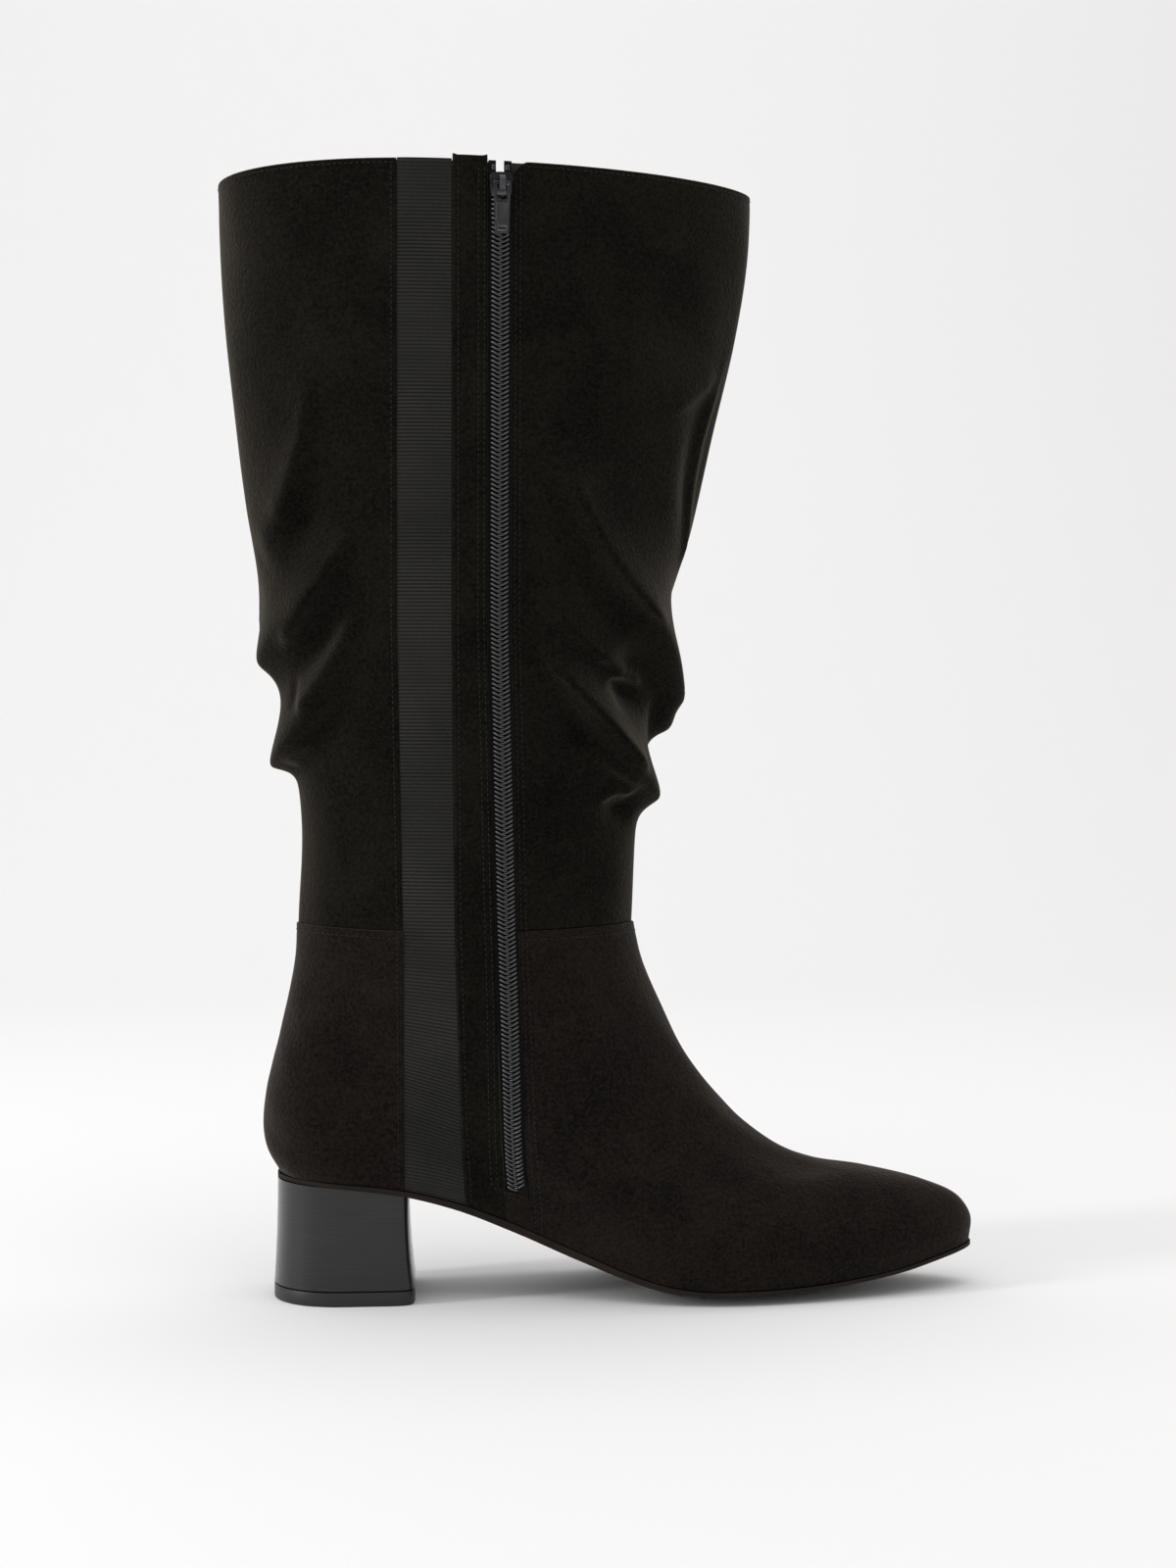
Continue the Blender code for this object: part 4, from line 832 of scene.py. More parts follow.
# one lacquered zinc in two copies: the slider's is darker, painted shade, and the tab's and the top
# stops' is lighter with brighter edges, painted highlight
shadedLacqueredZinc = makeLacqueredZinc("shadedLacqueredZinc", "#131315", "#66666a")
highlitZinc = makeLacqueredZinc("highlitLacqueredZinc", "#1f1f21", "#a0a0a4")
thread = makeThread()
soleRubber = makeSoleRubber()
stackedHeel = makeStackedHeel()
liftPlastic = makeLiftPlastic()
sock = makeSock()
print("materials made")


# Upper: leg and foot in suede, each with its edges turned in along the zip and the gore.
# footLevel is the length of one level of the foot near the ankle seam; lip and seamReach are in levels.
wallSize = {"suede": 1.7 * mm, "edgeRound": 0.8 * mm, "edgeDrop": 0.28 * mm, "rim": 0.9 * mm,
            "rimCurl": 0.85, "frontColumns": 74, "outerColumns": 104, "backColumns": 46,
            "crowding": 1.35, "foldsFrom": 0.3, "foldsTo": 0.91, "collarRows": 34,
            "foldRows": 152, "seamRows": 12, "footRows": 96, "footEnd": 2.0, "lip": 0.006,
            "lipDrop": 0.4 * mm, "cornerDrop": 4.4 * mm, "cornerWidth": 5.7 * mm,
            "groove": 0.10 * mm, "grooveReach": 0.9 * mm, "seamReach": 0.12, "footLevel": 0.1}
liningSize = {"thickness": 0.3 * mm, "behind": 0.1 * mm, "lap": 0.6 * mm, "frontColumns": 30,
              "outerColumns": 60, "backColumns": 44, "legRows": 120, "footRows": 50,
              "footEnd": 1.97}


def fineEdge(count):
    # Shares that start close together, for an edge that curls and carries stitches
    return np.linspace(0, 1, count + 1) ** wallSize["crowding"]


def fineWrapAngles(levels):
    size = wallSize
    return wrapAngles(angleAt(levels, frontEdge(levels)),
                      angleAt(levels, stripPlace(levels, "goreBack") - boot["gap"]),
                      1 - fineEdge(size["frontColumns"]), size["outerColumns"],
                      1 - fineEdge(size["backColumns"])[::-1])


def cornerShift(levels, distance):
    # The front panel's top corner beside the zip is cut away in a soft slope, which the rows
    # below it take up over 0.06 of the leg
    drop = wallSize["cornerDrop"] * np.clip(1 - distance / wallSize["cornerWidth"], 0, 1) ** 1.6
    return drop / shaftLength * np.clip(1 - levels / 0.06, 0, 1)


def edgeDistances(levels, angles):
    # Distance of each grid point from the first and from the last column
    along = walked(baseSurface(levels[:, None] * np.ones_like(angles), angles))
    return along, along[:, -1:] - along


def groove(distance):
    # A row of stitches pulls a shallow groove
    return wallSize["groove"] * np.exp(-(distance / wallSize["grooveReach"]) ** 2)


def edgeForm(distance, rows):
    # Height change near an edge, which rounds off and has a groove at each row of stitches
    height = -wallSize["edgeDrop"] * quarterRound(distance / wallSize["edgeRound"])
    return height - sum(groove(distance - row) for row in rows)


def seamStep(levels):
    # The foot's suede lies over the shaft's at the ankle seam and eases off below it
    return boot["seamStep"] * np.exp(-(levels - 1) / wallSize["seamReach"])


stitchSize = {"pitch": 2.1 * mm, "length": 1.2 * mm, "radius": 0.14 * mm, "sides": 6,
              "zipRows": (1.0 * mm, 2.9 * mm), "facingRows": (1.2 * mm, 3.4 * mm),
              "goreRow": 2.1 * mm, "facingGoreRow": 2.3 * mm, "hemDrop": 1.8 * mm,
              "seamDrop": 2.3 * mm}
stitchSink = stitchSize["radius"] * 0.35


def makeLegWall():
    size = wallSize
    end = 1 - boot["gap"] / 2 / shaftLength
    rim = np.array([0.0, 0.15, 0.35, 0.6, 1.0]) * size["rim"] / shaftLength
    # rows stand closer together where the folds are
    levels = np.concatenate([
        rim, np.linspace(2.2 * mm / shaftLength, size["foldsFrom"], size["collarRows"])[:-1],
        np.linspace(size["foldsFrom"], size["foldsTo"], size["foldRows"]),
        np.linspace(size["foldsTo"], end, size["seamRows"])[1:]])
    angles = fineWrapAngles(levels)
    fromZip, fromGore = edgeDistances(levels, angles)
    hem = levels * shaftLength - stitchSize["hemDrop"]
    outside = (edgeForm(fromZip, stitchSize["zipRows"]) + edgeForm(fromGore, [stitchSize["goreRow"]])
               - groove(hem)[:, None])
    shaped = levels[:, None] + cornerShift(levels[:, None], fromZip)
    wallPiece("shaftSuede", shaped, angles, outside, np.full(outside.shape, -size["suede"]), suede,
              "suede", ["shaft"], roundRim=size["rim"])
    size = liningSize
    levels = np.linspace(0.4 * mm / shaftLength, end, size["legRows"])
    outside = np.full(len(levels), -boot["wall"] - size["behind"])
    wallPiece("shaftLining", levels, liningAngles(levels), outside, outside - size["thickness"],
              liningKnit, "suede", tables=liningFolds)


def makeFootWall():
    size = wallSize
    start = 1 + boot["gap"] / 2 / counterHeight
    lip = start + np.array([0.0, 0.2, 0.5, 1.0]) * size["lip"]
    rows = footLevels(start + 2 * size["lip"], size["footEnd"], size["footRows"])
    # no row close to the two that make the step at the zip's end
    rows = rows[abs(rows - zipEndLevel) > size["lip"]]
    levels = np.sort(np.concatenate([lip, rows, [zipEndLevel, zipEndLevel + 2 * zipEndStep]]))
    angles = fineWrapAngles(levels)
    fromZip, fromGore = edgeDistances(levels, angles)
    zipForm = edgeForm(fromZip, stitchSize["zipRows"])
    zipForm[levels > zipEndLevel + zipEndStep] *= 0.3  # fainter where it meets the facing
    step = seamStep(levels)
    lipDrop = size["lipDrop"] * quarterRound((levels - start) / size["lip"])
    seam = (levels - start) * size["footLevel"] - stitchSize["seamDrop"]
    outside = zipForm + edgeForm(fromGore, [stitchSize["goreRow"]])
    outside = outside + (step - lipDrop - groove(seam))[:, None]
    inside = step - boot["seamStep"] - size["suede"] + 0.6 * mm
    wallPiece("footSuede", levels, angles, outside, inside, footHide, "suede", ["upper"])
    size = liningSize
    levels = footLevels(start, size["footEnd"], size["footRows"])
    outside = np.full(len(levels), -boot["wall"] - size["behind"])
    wallPiece("footLining", levels, liningAngles(levels), outside, outside - size["thickness"],
              liningKnit, "suede")


makeLegWall()
makeFootWall()
print("leg and foot made")


# Inner side: ribbed webbing, the suede facing beside the zip
facingSize = {"columns": 22, "rows": 240, "rimRound": 0.9 * mm, "rimDrop": 0.35 * mm,
              "cornerLift": 0.5 * mm, "cornerRows": 3}


def fullLevels(count, top=0.0):
    foot = int(count * 0.3)
    leg = np.linspace(top, 1.0, count - foot)
    return np.concatenate([leg, footLevels(1.0, 2.0, foot + 1)[1:]])


def makeGore():
    size = webbingSize
    ribs = int(size["length"] / size["ribPitch"])
    even = fullLevels(400)
    placeX = (stripPlace(even, "goreBack") + stripPlace(even, "goreFront")) / 2
    travelled = walked(baseSurface(even, angleAt(even, placeX)))
    wanted = np.linspace(0, travelled[-1], ribs * size["rowsPerRib"] + 1)
    levels = np.interp(wanted, travelled, even)
    angles = stripAngles(levels, stripPlace(levels, "goreBack"),
                         stripPlace(levels, "goreFront"), size["columns"])
    rib = size["ribHeight"] * np.abs(np.sin(np.pi * wanted / size["ribPitch"]))
    rib[wanted < size["foldedTop"]] = size["ribHeight"] * 1.2
    crown = -size["crown"] * np.linspace(-1, 1, size["columns"]) ** 6
    outside = (-boot["gap"] + rib - size["ribHeight"])[:, None] + crown[None, :]
    inside = np.full(outside.shape, -boot["gap"] - size["thickness"])
    wallPiece("ribbedGore", levels, angles, outside, inside, webbing, "gore_webbing",
              ["elastic_gore"])


def makeFacing():
    size = facingSize
    levels = fullLevels(size["rows"], -strip["facingProud"] / shaftLength)
    rim = levels[0] + np.array([0.0, 0.2, 0.5, 0.9]) * mm / shaftLength
    levels = np.sort(np.concatenate([rim, levels[levels > rim[-1] + 0.5 * mm / shaftLength]]))
    columns = size["columns"] + 1
    angles = stripAngles(levels, stripPlace(levels, "goreFront") + boot["gap"],
                         stripPlace(levels, "zip") - strip["zipOpening"] / 2 - boot["gap"] / 2,
                         columns)
    fromGore, fromZip = edgeDistances(levels, angles)
    outside = (edgeForm(fromZip, stitchSize["facingRows"])
               + edgeForm(fromGore, [stitchSize["facingGoreRow"]]))
    high = np.clip(1 - (levels - levels[0]) * shaftLength / size["rimRound"], 0, 1)
    outside -= size["rimDrop"] * (high ** 2)[:, None]
    made = wallPiece("facingSuede", levels, angles, outside, np.full(outside.shape, -boot["wall"]),
                     suede, "suede", ["zip_facing"])
    # its top corners stand up a little, where the seams end
    near = size["cornerRows"]
    for row in range(near):
        for column in (*range(near), *range(columns - near, columns)):
            toCorner = min(column, columns - 1 - column)
            for skin in (0, levels.size * columns):
                vertex = made.data.vertices[skin + row * columns + column]
                vertex.co.z += (size["cornerLift"] * (1 - toCorner / near)
                                * (1 - row / (near + 1)))


makeGore()
makeFacing()
print("gore and facing made")


# Frames along the zip: place, way across it, way up it and way out of it
def zipFrames(levels):
    levels = np.asarray(levels, float)
    point, out = surface(levels, angleAt(levels, stripPlace(levels, "zip")), (), 0.0)
    step = 2e-3
    above, below = (baseSurface(near, angleAt(near, stripPlace(near, "zip")))
                    for near in (levels - step, levels + step))
    up = above - below
    up /= np.linalg.norm(up, axis=-1, keepdims=True)
    across = np.cross(up, out)
    across /= np.linalg.norm(across, axis=-1, keepdims=True)
    return point, across, up, np.cross(across, up)


def zipFrame(level, height):
    # One of them as a matrix, moved out by a height: X across, Y up, Z out
    point, across, up, out = (v[0] for v in zipFrames([level]))
    place = Matrix((Vector(across), Vector(up), Vector(out))).transposed().to_4x4()
    place.translation = Vector(point + out * height)
    return place


def tube(route, radius, sides, normals):
    # Closed tube round a route of points, with one radius and one normal for each point
    route = np.asarray(route, float)
    tangent = np.gradient(route, axis=0)
    tangent /= np.linalg.norm(tangent, axis=1, keepdims=True)
    side = np.cross(tangent, normals)
    side /= np.linalg.norm(side, axis=1, keepdims=True)
    lift = np.cross(side, tangent)
    turn = np.linspace(0, 2 * np.pi, sides, endpoint=False)
    ring = (side[:, None, :] * np.cos(turn)[None, :, None]
            + lift[:, None, :] * np.sin(turn)[None, :, None]) * radius[:, None, None]
    return cappedRings(route[:, None, :] + ring)


def repeatAlong(frames, vertices, faces):
    # One small mesh copied to each frame: X across, Y up, Z out
    point, across, up, out = frames
    count = len(vertices)
    placed = (point[:, None, :] + vertices[None, :, 0:1] * across[:, None, :]
              + vertices[None, :, 1:2] * up[:, None, :] + vertices[None, :, 2:3] * out[:, None, :])
    allFaces = [tuple(i * count + v for v in face) for i in range(len(point)) for face in faces]
    return placed.reshape(-1, 3), allFaces


sliderSize = {"drop": 0.0090, "length": 0.0084, "width": 0.0084, "plate": 0.0010,
              "postWidth": 0.0024, "postLength": 0.0022, "bridgeWidth": 0.0022,
              "bridgeSpan": 0.0034, "bridgeBar": 0.0010, "clearance": 0.0004, "edge": 0.22 * mm}
coilSize = {"pitch": 1.65 * mm, "width": 6.6 * mm, "thickness": 2.0 * mm, "wire": 0.40 * mm,
            "slope": 1.5 * mm, "sides": 6}
sliderLevel = sliderSize["drop"] / shaftLength
coilBottom = -strip["tapeDepth"] + strip["tapeWall"] + boot["gap"]


def makeTapes():
    closed = (sliderLevel - sliderSize["length"] / 2 / shaftLength
              + (sliderSize["postLength"] + 2 * boot["gap"]) / shaftLength)
    levels = np.concatenate([[0.0, closed * 0.6, closed - 1e-3],
                             np.linspace(closed, 1, 120)[:-1],
                             np.linspace(1, zipEndLevel - zipEndStep, 40)])
    reach = strip["zipOpening"] / 2 - boot["gap"]
    centre = stripPlace(levels, "zip")
    apart = np.where(levels < closed, sliderSize["postWidth"] / 2 + boot["gap"], boot["gap"] / 2)
    high = [-strip["tapeDepth"] + strip["tapeWall"]] * len(levels)
    low = [-strip["tapeDepth"]] * len(levels)
    for name, start, end, node in (
            ("zipTapeBack", centre - reach, centre - apart, "zip_tape_back"),
            ("zipTapeFront", centre + apart, centre + reach, "zip_tape_front")):
        wallPiece(name, levels, stripAngles(levels, start, end, 4), high, low, zipTape,
                  "zip_tape", [node])


def makeCoil():
    size = coilSize
    half = size["width"] / 2
    slope = size["slope"]
    top = size["thickness"] - size["wire"]
    # one turn of the front coil: up over its back, down towards the middle, head sunk between
    route = [(half - 0.15 * mm, slope, 0.45 * mm),
             (half - 0.4 * mm, slope * 0.92, top - 0.25 * mm),
             (half * 0.62, slope * 0.55, top),
             (half * 0.25, slope * 0.18, top),
             (-half * 0.02, 0.0, top - 0.05 * mm),
             (-half * 0.20, -0.1 * mm, top - 0.45 * mm),
             (-half * 0.22, -0.1 * mm, 0.5 * mm)]
    radius = np.array([0.9, 1.05, 1.05, 0.9, 0.78, 0.75, 0.7]) * size["wire"]
    normals = np.tile([0.0, 0.0, 1.0], (len(route), 1))
    normals[0], normals[-1], normals[-2] = (1.0, 0, 0.3), (-1.0, 0, 0.1), (-0.7, 0, 0.7)
    vertices, faces = tube(route, radius, size["sides"], normals)
    mirrored = (vertices * np.array([-1, 1, 1]), [face[::-1] for face in faces])
    start = sliderLevel - (sliderSize["length"] / 2 - 2.6 * mm) / shaftLength
    even = np.concatenate([np.linspace(start, 1, 300)[:-1],
                           np.linspace(1, zipEndLevel - zipEndStep, 120)])
    travelled = walked(zipFrames(even)[0])
    turns = np.arange(int(travelled[-1] / size["pitch"]) - 1)
    parts = []
    for mesh, shift in (((vertices, faces), 0.6), (mirrored, 1.1)):
        frames = list(zipFrames(np.interp((turns + shift) * size["pitch"], travelled, even)))
        frames[0] = frames[0] + frames[3] * coilBottom
        parts.append(repeatAlong(frames, *mesh))
    newPiece("coilTurns", *joined(parts), coilPlastic, "boot", "zip_coil", ["zip_coil"])


makeTapes()
makeCoil()
print("zip made")


# Slider and pull tab, in the slider's own frame: X across, Y up, Z out
def prism(outline, low, high):
    return cappedRings([[(x, y, z) for x, y in outline] for z in (low, high)])


def ringPrism(outer, inner, low, high):
    # A plate with a window: both outlines have the same number of points
    count = len(outer)
    vertices = [(x, y, z) for z in (low, high) for loop in (outer, inner) for x, y in loop]
    faces = []
    for i in range(count):
        j = (i + 1) % count
        faces.append((i, count + i, count + j, j))
        faces.append((2 * count + i, 2 * count + j, 3 * count + j, 3 * count + i))
        faces.append((i, j, 2 * count + j, 2 * count + i))
        faces.append((count + i, 3 * count + i, 3 * count + j, count + j))
    return np.array(vertices), turnOut(vertices, faces)


def bothSides(side):
    # An outline from the corners of its right half
    return side + [(-x, y) for x, y in reversed(side)]


def oblong(x, y, halfWidth, halfLength):
    return [(x + i * halfWidth, y + j * halfLength)
            for i, j in ((-1, -1), (1, -1), (1, 1), (-1, 1))]


def roundedOutline(corners, radius, steps=3):
    # Corners of an outline rounded by short arcs, each at most half of its shorter side
    outline = []
    count = len(corners)
    for i in range(count):
        here = Vector(corners[i])
        before, after = Vector(corners[i - 1]) - here, Vector(corners[(i + 1) % count]) - here
        reach = min(radius, before.length / 2.01, after.length / 2.01)
        start, end = here + before.normalized() * reach, here + after.normalized() * reach
        for k in range(steps + 1):
            t = k / steps
            outline.append(tuple(start * (1 - t) ** 2 + here * 2 * t * (1 - t) + end * t ** 2))
    return outline


def metalPiece(name, parts, place, body, nodes, bevel, material):
    vertices, faces = joined(parts)
    placed = np.array([place @ Vector(v) for v in vertices])
    made = newPiece(name, placed, faces, material, body, "slider_metal", nodes, 35)
    roundEdges(made, bevel, 3, 35)


def makeSlider():
    size = sliderSize
    plateLow = coilBottom + coilSize["thickness"] + boot["gap"]
    plateHigh = plateLow + size["plate"]
    backHigh = -strip["tapeDepth"] - boot["gap"]
    sunk = 0.3 * mm  # how far its parts run into each other
    # right half of the plate's outline, in shares of its width and length
    shield = [(0.30, -0.50), (0.42, -0.42), (0.42, -0.05), (0.50, 0.15), (0.50, 0.34),
              (0.36, 0.48), (0.12, 0.50)]

    def plate(width, length, low, high):
        side = [(x * width, y * length) for x, y in shield]
        return prism(roundedOutline(bothSides(side), 0.8 * mm, 4), low, high)

    narrow = strip["zipOpening"] - 4 * boot["gap"]
    top = size["length"] / 2 - boot["gap"]
    half = size["postWidth"] / 2
    post = bothSides([(half, top - size["postLength"]), (half, top)])
    clear = tabSize["thickness"] + 2 * size["clearance"]
    inner = size["bridgeSpan"] / 2
    outer = inner + size["bridgeBar"]
    foot = plateHigh - 0.4 * mm
    crown = plateHigh + clear
    arch = bothSides([(inner, crown + 1.0 * mm), (outer, crown + 0.3 * mm), (outer, foot),
                      (inner, foot), (inner, crown)])
    vertices, faces = prism(arch, -size["bridgeWidth"] / 2, size["bridgeWidth"] / 2)
    parts = [plate(size["width"], size["length"], plateLow, plateHigh),
             plate(narrow, size["length"] * 0.94, backHigh - size["plate"], backHigh),
             prism(post, backHigh - sunk, plateLow + sunk), (vertices[:, [2, 0, 1]], faces)]
    for side in (-1, 1):
        flange = oblong(side * size["width"] * 0.42, -0.175 * size["length"], 0.3 * mm,
                        0.225 * size["length"])
        parts.append(prism(flange, plateLow - 0.7 * mm, plateLow + sunk))
    metalPiece("sliderBody", parts, zipFrame(sliderLevel, 0.0), "boot", ["zip_slider"],
               size["edge"], shadedLacqueredZinc)
    return plateHigh + clear / 2


tabSize = {"length": 0.0186, "width": 0.0064, "endWidth": 0.0050, "thickness": 0.0011,
           "window": 0.0056, "padHeight": 0.25 * mm, "rimHeight": 0.18 * mm,
           "borderHeight": 0.22 * mm, "slot": 2.0 * mm, "slotRim": 0.35 * mm, "edge": 0.2 * mm}


def makePullTab(height):
    size = tabSize
    bar = size["thickness"] / 2
    foot = bar - 0.05 * mm  # the raised parts start inside the plate
    end = bar - size["length"]
    windowLow = -bar - size["window"]
    opening = sliderSize["bridgeWidth"] / 2 + sliderSize["clearance"] + boot["gap"]
    wide, narrow = size["width"] / 2, size["endWidth"] / 2
    middle = (bar + end) / 2
    outer = roundedOutline(bothSides([(wide, bar), (wide, -bar),
                                      (mix(wide, narrow, 0.45), windowLow), (narrow, end)]),
                           1.0 * mm)
    inner = roundedOutline(bothSides([(opening * 0.95, -bar), (opening, -2 * bar),
                                      (opening, windowLow + bar), (opening * 0.55, windowLow)]),
                           0.8 * mm)
    padTop, padLow = windowLow - 1.1 * mm, end + size["slot"] + 1.0 * mm
    padHalf = narrow - 0.55 * mm
    pad = roundedOutline(bothSides([(padHalf + 0.25 * mm, padTop), (padHalf, padLow)]), 0.4 * mm)
    slotHalf = padHalf - 0.05 * mm
    slotTop, slotLow = padLow - 0.25 * mm, end + 0.8 * mm
    rim = size["slotRim"]
    slot = roundedOutline(bothSides([(slotHalf, slotTop), (slotHalf, slotLow)]), 0.5 * mm)
    hollow = roundedOutline(bothSides([(slotHalf - rim, slotTop - rim),
                                       (slotHalf - rim, slotLow + rim)]), rim)
    inset = [(x * (1 - 0.5 * mm / wide), mix(middle, y, 1 - 1.0 * mm / size["length"]))
             for x, y in outer]
    parts = [ringPrism(outer, inner, -bar, bar), prism(pad, foot, bar + size["padHeight"]),
             ringPrism(slot, hollow, foot, bar + size["rimHeight"]),
             ringPrism(outer, inset, foot, bar + size["borderHeight"])]
    metalPiece("pullTab", parts, zipFrame(sliderLevel, height), "pull_tab", ["zip_pull_tab"],
               size["edge"], highlitZinc)


stopSize = {"drop": 2.9 * mm, "aside": 2.5 * mm, "halfWidth": 0.7 * mm, "halfLength": 0.9 * mm,
            "round": 0.4 * mm, "height": 1.5 * mm, "lift": 0.2 * mm, "edge": 0.22 * mm}


def makeTopStops():
    # Pinched metal clips that end each coil above the slider
    size = stopSize
    clips = []
    for side in (-1, 1):
        block = oblong(side * size["aside"], 0.0, size["halfWidth"], size["halfLength"])
        clips.append(prism(roundedOutline(block, size["round"]), 0.0, size["height"]))
    metalPiece("topStops", clips, zipFrame(size["drop"] / shaftLength, coilBottom + size["lift"]),
               "boot", [], size["edge"], highlitZinc)


makePullTab(makeSlider())
makeTopStops()
print("slider and pull tab made")


# Stitches: short arched threads laid along a line on the surface
def readAt(values, travelled, where):
    return np.stack([np.interp(where, travelled, column) for column in values.T], axis=1)


def layStitches(name, lines):
    # One thread: five rings, each with its place along it, its rise and its thickness
    size = stitchSize
    share = np.array([-0.5, -0.36, 0.0, 0.36, 0.5]) * size["length"]
    dip = np.array([-0.16, 0.02, 0.12, 0.02, -0.16]) * mm
    thick = np.array([0.6, 1.0, 1.0, 1.0, 0.6]) * size["radius"]
    turn = np.linspace(0, 2 * np.pi, size["sides"], endpoint=False)
    one = cappedRings([np.column_stack([r * np.cos(turn), np.full(len(turn), y),
                                        z + r * np.sin(turn)])
                       for y, z, r in zip(share, dip, thick)])
    parts = []
    for point, out in lines:
        travelled = walked(point)
        at = np.arange(size["pitch"] / 2, travelled[-1], size["pitch"])
        ahead = (readAt(point, travelled, at + 0.5 * mm)
                 - readAt(point, travelled, at - 0.5 * mm))
        ahead /= np.linalg.norm(ahead, axis=1, keepdims=True)
        side = np.cross(ahead, readAt(out, travelled, at))
        side /= np.linalg.norm(side, axis=1, keepdims=True)
        frames = (readAt(point, travelled, at), side, ahead, np.cross(side, ahead))
        parts.append(repeatAlong(frames, *one))
    newPiece(name, *joined(parts), thread, "boot", "suede")


def lineAt(levels, places, lift):
    # A line on the boot at given distances in front of the heel, one for each level
    point, out = surface(levels, angleAt(levels, places))
    return point + out * np.broadcast_to(lift, levels.shape)[:, None], out


def threadLift(levels):
    # The threads sink into the pile, and below the ankle seam they lie on the foot's suede
    return np.where(levels > 1, seamStep(levels), 0.0) - stitchSink


def makeStitches():
    size = stitchSize
    rows = fullLevels(500, 2.4 * mm / shaftLength)
    halfZip = strip["zipOpening"] / 2
    low = ease((rows - 1.0) / 0.9)
    lines = []
    for row, widen in zip(size["zipRows"], (1.0 * mm, 1.4 * mm)):
        lines.append(lineAt(rows + cornerShift(rows, row),
                            stripPlace(rows, "zip") + halfZip + row + widen * low,
                            threadLift(rows)))
    upToEnd = rows[rows < zipEndLevel + 0.035]
    low = ease((upToEnd - 1.0) / 0.9)
    # below the zip's end the facing's rows swing round it
    swing = 9.0 * mm * np.clip((upToEnd - zipEndLevel + 0.02) / 0.055, 0, 1) ** 2.2
    for row, widen in zip(size["facingRows"], (1.3 * mm, 1.5 * mm)):
        lines.append(lineAt(upToEnd, stripPlace(upToEnd, "zip") - halfZip - row - widen * low
                            + swing, -stitchSink))
    layStitches("zipStitches", lines)
    rows = rows[rows < 1.985]
    layStitches("goreStitches", [
        lineAt(rows, stripPlace(rows, "goreBack") - size["goreRow"], threadLift(rows)),
        lineAt(rows, stripPlace(rows, "goreFront") + size["facingGoreRow"], -stitchSink)])
    seamLevel = 1 + boot["gap"] / 2 / counterHeight + size["seamDrop"] / wallSize["footLevel"]
    for name, level, front, back in (
            ("hemStitches", size["hemDrop"] / shaftLength, 5.2 * mm, 1.5 * mm),
            ("seamStitches", seamLevel, 0.8 * mm, 0.8 * mm)):
        line = np.full(900, level)
        first = angleAt(line[:1], stripPlace(line[:1], "zip") + halfZip + front)[0]
        last = angleAt(line[:1], stripPlace(line[:1], "goreBack") - back)[0] - 2 * np.pi
        point, out = surface(line, np.linspace(first, last, 900))
        layStitches(name, [(point + out * threadLift(line)[:, None], out)])


makeStitches()
print("stitches made")


# Sole, insole and heel
soleSize = {"edge": 0.0015, "waistEdge": 0.0014, "crown": 0.0052, "proud": 0.0005,
            "insole": 0.0018, "insoleClearance": 0.0009, "stations": 180, "across": 31,
            "treadPitch": 3.0 * mm, "treadDepth": 0.35 * mm}


def soleGrid(grow, across):
    # Points of a plate inside the sole's outline: rows toe to heel, columns inner to outer
    angle = np.linspace(0.018, np.pi - 0.018, soleSize["stations"])
    station = (1 - np.cos(angle)) / 2
    edges = []
    for inner in (True, False):
        x = toeX - station * boot["footLength"]
        half = planHalfWidth(station, inner)
        along, away = np.gradient(x, angle), np.gradient(half, angle)
        length = np.hypot(along, away)
        half = half - grow * along / length
        edges.append(np.stack([x + grow * away / length, -half if inner else half], axis=1))
    q = np.linspace(-1, 1, across)
    place = mix(edges[0][:, None, :], edges[1][:, None, :], ((q + 1) / 2)[None, :, None])
    return place, station[:, None] * np.ones(across)[None, :], np.abs(q)[None, :]


def soleTop(station, q):
    crown = readTable(edgeSections, "crown", station) * soleSize["crown"] / 2
    return edgeHeight(station) - boot["gap"] - crown * (1 - q ** 2)


def soleBottom(station, q):
    crown = readTable(edgeSections, "crown", station) * soleSize["crown"]
    edge = soleSize["edge"] + soleSize["waistEdge"] * readTable(edgeSections, "waist", station)
    return np.maximum(edgeHeight(station) - boot["gap"] - edge - crown * (1 - q ** 2), 0.0)


def makeSole():
    size = soleSize
    place, station, q = soleGrid(size["proud"], size["across"])
    top = np.dstack([place, soleTop(station, q)])
    low = soleBottom(station, q)
    # fine tread bars under the forefoot, cut into the underside away from the edge
    forefoot = ease((0.46 - station) / 0.04) * ease((station - 0.05) / 0.03) * ease((0.9 - q) / 0.1)
    bars = np.clip(np.sin(2 * np.pi * place[..., 0] / size["treadPitch"]) * 1.6, -1, 1)
    low = low + size["treadDepth"] * forefoot * (0.5 + 0.5 * bars)
    bottom = np.dstack([place, low])
    vertices, faces, uv = closedWall(top, bottom)
    made = newPiece("soleUnit", vertices, turnOut(vertices, faces), soleRubber, "boot",
                    "sole_rubber", ["outsole"], 40, uv)
    roundEdges(made, 0.3 * mm, 2, 55)
    place, station, q = soleGrid(-boot["wall"] - size["insoleClearance"], 17)
    under = soleTop(station, q) + boot["gap"]
    vertices, faces, uv = closedWall(np.dstack([place, under + size["insole"]]),
                                     np.dstack([place, under]))
    newPiece("insoleSock", vertices, turnOut(vertices, faces), sock, "boot", "insole_lining",
             ["insole"], 40, uv)


heelSize = {"front": 0.0264, "reach": 0.0267, "width": 0.0516, "taper": 0.0018, "lift": 0.0056,
            "points": 120, "rings": 26, "chamfer": 0.5 * mm, "lowEdge": 0.25 * mm}


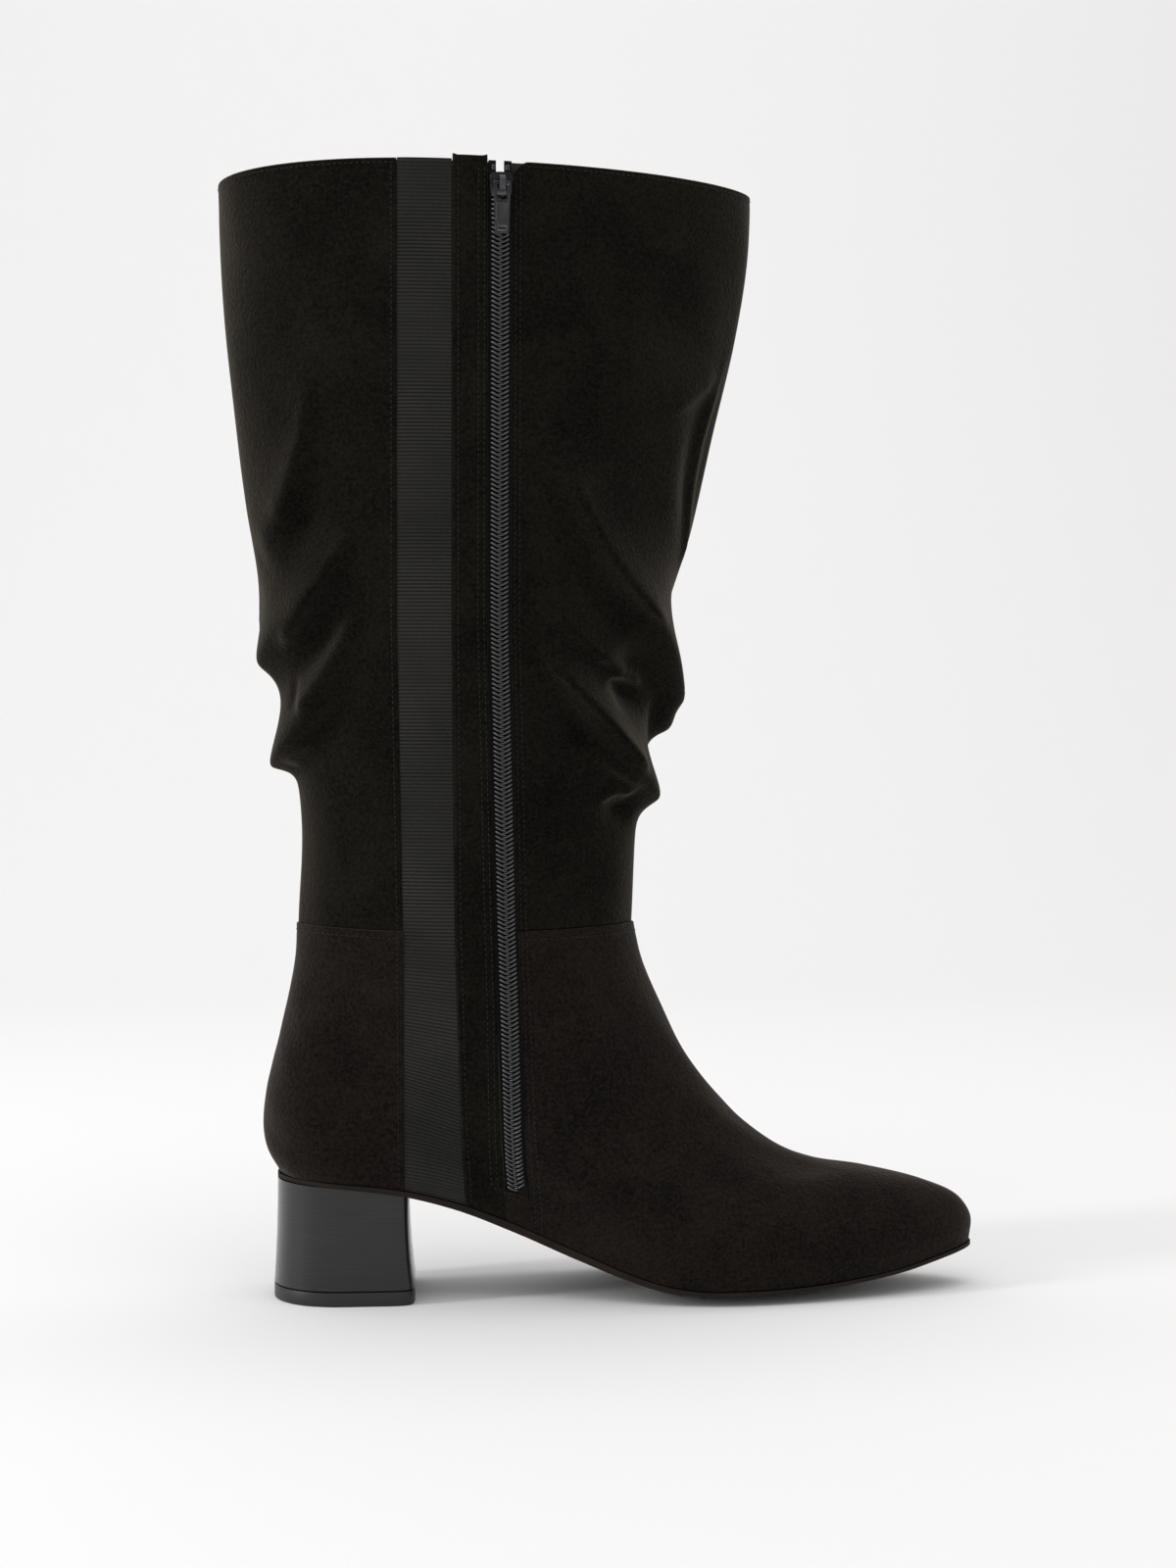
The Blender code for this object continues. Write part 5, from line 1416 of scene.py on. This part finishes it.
def heelRing(front, back, width, count):
    # Nearly square in front and rounder at the back
    angle = 2 * np.pi * (np.arange(count) + 0.5) / count
    cosine, sine = np.cos(angle), np.sin(angle)
    ahead = cosine > 0
    reach = np.where(ahead, front, -back)
    power = np.where(ahead, 2 / 9, 2 / 2.15)
    return np.stack([reach * np.abs(cosine) ** power,
                     np.sign(sine) * width / 2 * np.abs(sine) ** power], axis=1)


def stackedRings(rings):
    # Closed form through rings of the same count, capped by a fan at each end
    count = len(rings[0])
    vertices = np.concatenate(rings + [rings[0].mean(axis=0)[None], rings[-1].mean(axis=0)[None]])
    faces = ringFaces(len(rings), count)
    low = len(rings) * count
    last = low - count
    for j in range(count):
        k = (j + 1) % count
        faces += [(low, k, j), (low + 1, last + j, last + k)]
    return vertices, turnOut(vertices, faces)


def makeHeel():
    size = heelSize
    count = size["points"]
    rings = []
    for high in np.linspace(0, 1, size["rings"]):
        # it narrows upwards, most of all in front and least at its sides
        taper = size["taper"] * (1 - (1 - high) ** 2)
        ring = heelRing(size["front"] - 1.2 * taper, size["reach"] - 0.7 * taper,
                        size["width"] - 0.5 * taper, count)
        station = np.clip((toeX - ring[:, 0]) / boot["footLength"], 0, 1)
        top = soleBottom(station, 1.0) - boot["gap"]
        z = mix(size["lift"], top, high)
        rings.append(np.column_stack([ring, z]))
    inset = rings[0].copy()
    inset[:, :2] *= 1 - size["lowEdge"] / (size["width"] / 2)
    rings[0][:, 2] += size["lowEdge"]
    vertices, faces = stackedRings([inset] + rings)
    newPiece("heelStack", vertices, faces, stackedHeel, "boot", "stacked_heel", ["heel_block"], 40)
    chamfer = size["chamfer"]
    liftTop = size["lift"] - boot["gap"]
    sides = []
    for z, inset in ((0.0, chamfer), (chamfer * 0.35, chamfer * 0.3), (chamfer, 0.0),
                     (liftTop - 0.3 * mm, 0.0), (liftTop - 0.08 * mm, 0.09 * mm),
                     (liftTop, 0.3 * mm)):
        ring = heelRing(size["front"] - inset, size["reach"] - inset, size["width"] - 2 * inset,
                        count)
        sides.append(np.column_stack([ring, np.full(count, z)]))
    vertices, faces = stackedRings(sides)
    newPiece("topLift", vertices, faces, liftPlastic, "boot", "top_lift", ["top_lift"], 40)


makeSole()
makeHeel()
print("sole and heel made")


# Studio: a pale paper sweep, soft light from above, and a camera where the photograph's stood
studio = {"distance": 0.880, "yaw": 4.5, "height": 0.1931, "aimX": 0.0924, "focal": 2343.5,
          "imageHeight": 1600, "air": 0.7, "sweepFront": -2.6, "sweepWall": 2.4,
          "sweepRadius": 1.2, "sweepHeight": 3.0, "sweepHalfWidth": 4.0}
# each light's place, what it points at, its width and height in metres and its watts
lights = {
    "overheadSoftbox": ((0.1, -0.4, 2.2), (0.09, 0.0, 0.2), 2.6, 2.2, 16),
    "leftStrip": ((-1.5, -0.45, 0.7), (0.05, 0.0, 0.25), 0.16, 1.5, 12),
    "backdropWash": ((0.0, 0.5, 2.7), (0.0, 2.4, 0.6), 3.0, 0.8, 11),
}


def makeSweep():
    size = studio
    paper = newMaterial("seamlessPaper", "#f4f3f3", 0.9, Specular_IOR_Level=0.1)[0]
    radius, half = size["sweepRadius"], size["sweepHalfWidth"]
    turns = [math.pi / 2 * i / 16 for i in range(17)]
    profile = [(size["sweepFront"], 0.0)]
    profile += [(size["sweepWall"] - radius + radius * math.sin(turn),
                 radius * (1 - math.cos(turn))) for turn in turns]
    profile.append((size["sweepWall"], size["sweepHeight"]))
    vertices = [(x, y, z) for y, z in profile for x in (-half, half)]
    faces = [(2 * i, 2 * i + 1, 2 * i + 3, 2 * i + 2) for i in range(len(profile) - 1)]
    mesh = bpy.data.meshes.new("paperSweep")
    mesh.from_pydata(vertices, [], faces)
    mesh.shade_smooth()
    mesh.materials.append(paper)
    sweep = bpy.data.objects.new("paperSweep", mesh)
    bpy.context.scene.collection.objects.link(sweep)


def makeLight(name, place, target, width, height, power):
    lamp = bpy.data.lights.new(name, "AREA")
    lamp.shape = "RECTANGLE"
    lamp.size, lamp.size_y = width, height
    lamp.energy = power
    made = bpy.data.objects.new(name, lamp)
    made.location = place
    made.rotation_euler = (Vector(target) - Vector(place)).to_track_quat("-Z", "Y").to_euler()
    bpy.context.scene.collection.objects.link(made)


def makeStudio():
    makeSweep()
    for name, form in lights.items():
        makeLight(name, *form)
    world = bpy.data.worlds.new("studioAir")
    bpy.context.scene.world = world
    world.use_nodes = True
    air = world.node_tree.nodes["Background"].inputs
    air["Color"].default_value = linear("#f8f8f8")
    air["Strength"].default_value = studio["air"]


def makeCamera():
    size = studio
    yaw = math.radians(size["yaw"])
    lens = bpy.data.cameras.new("camera")
    lens.sensor_fit = "VERTICAL"
    lens.sensor_height = 24.0
    lens.lens = size["focal"] / size["imageHeight"] * lens.sensor_height
    lens.clip_start, lens.clip_end = 0.05, 30.0
    camera = bpy.data.objects.new("camera", lens)
    camera.location = (size["aimX"] - size["distance"] * math.sin(yaw),
                       -size["distance"] * math.cos(yaw), size["height"])
    camera.rotation_euler = (math.pi / 2, 0.0, -yaw)
    bpy.context.scene.collection.objects.link(camera)
    bpy.context.scene.camera = camera


makeStudio()
makeCamera()
bpy.context.scene.view_settings.view_transform = "Standard"
print("studio made")
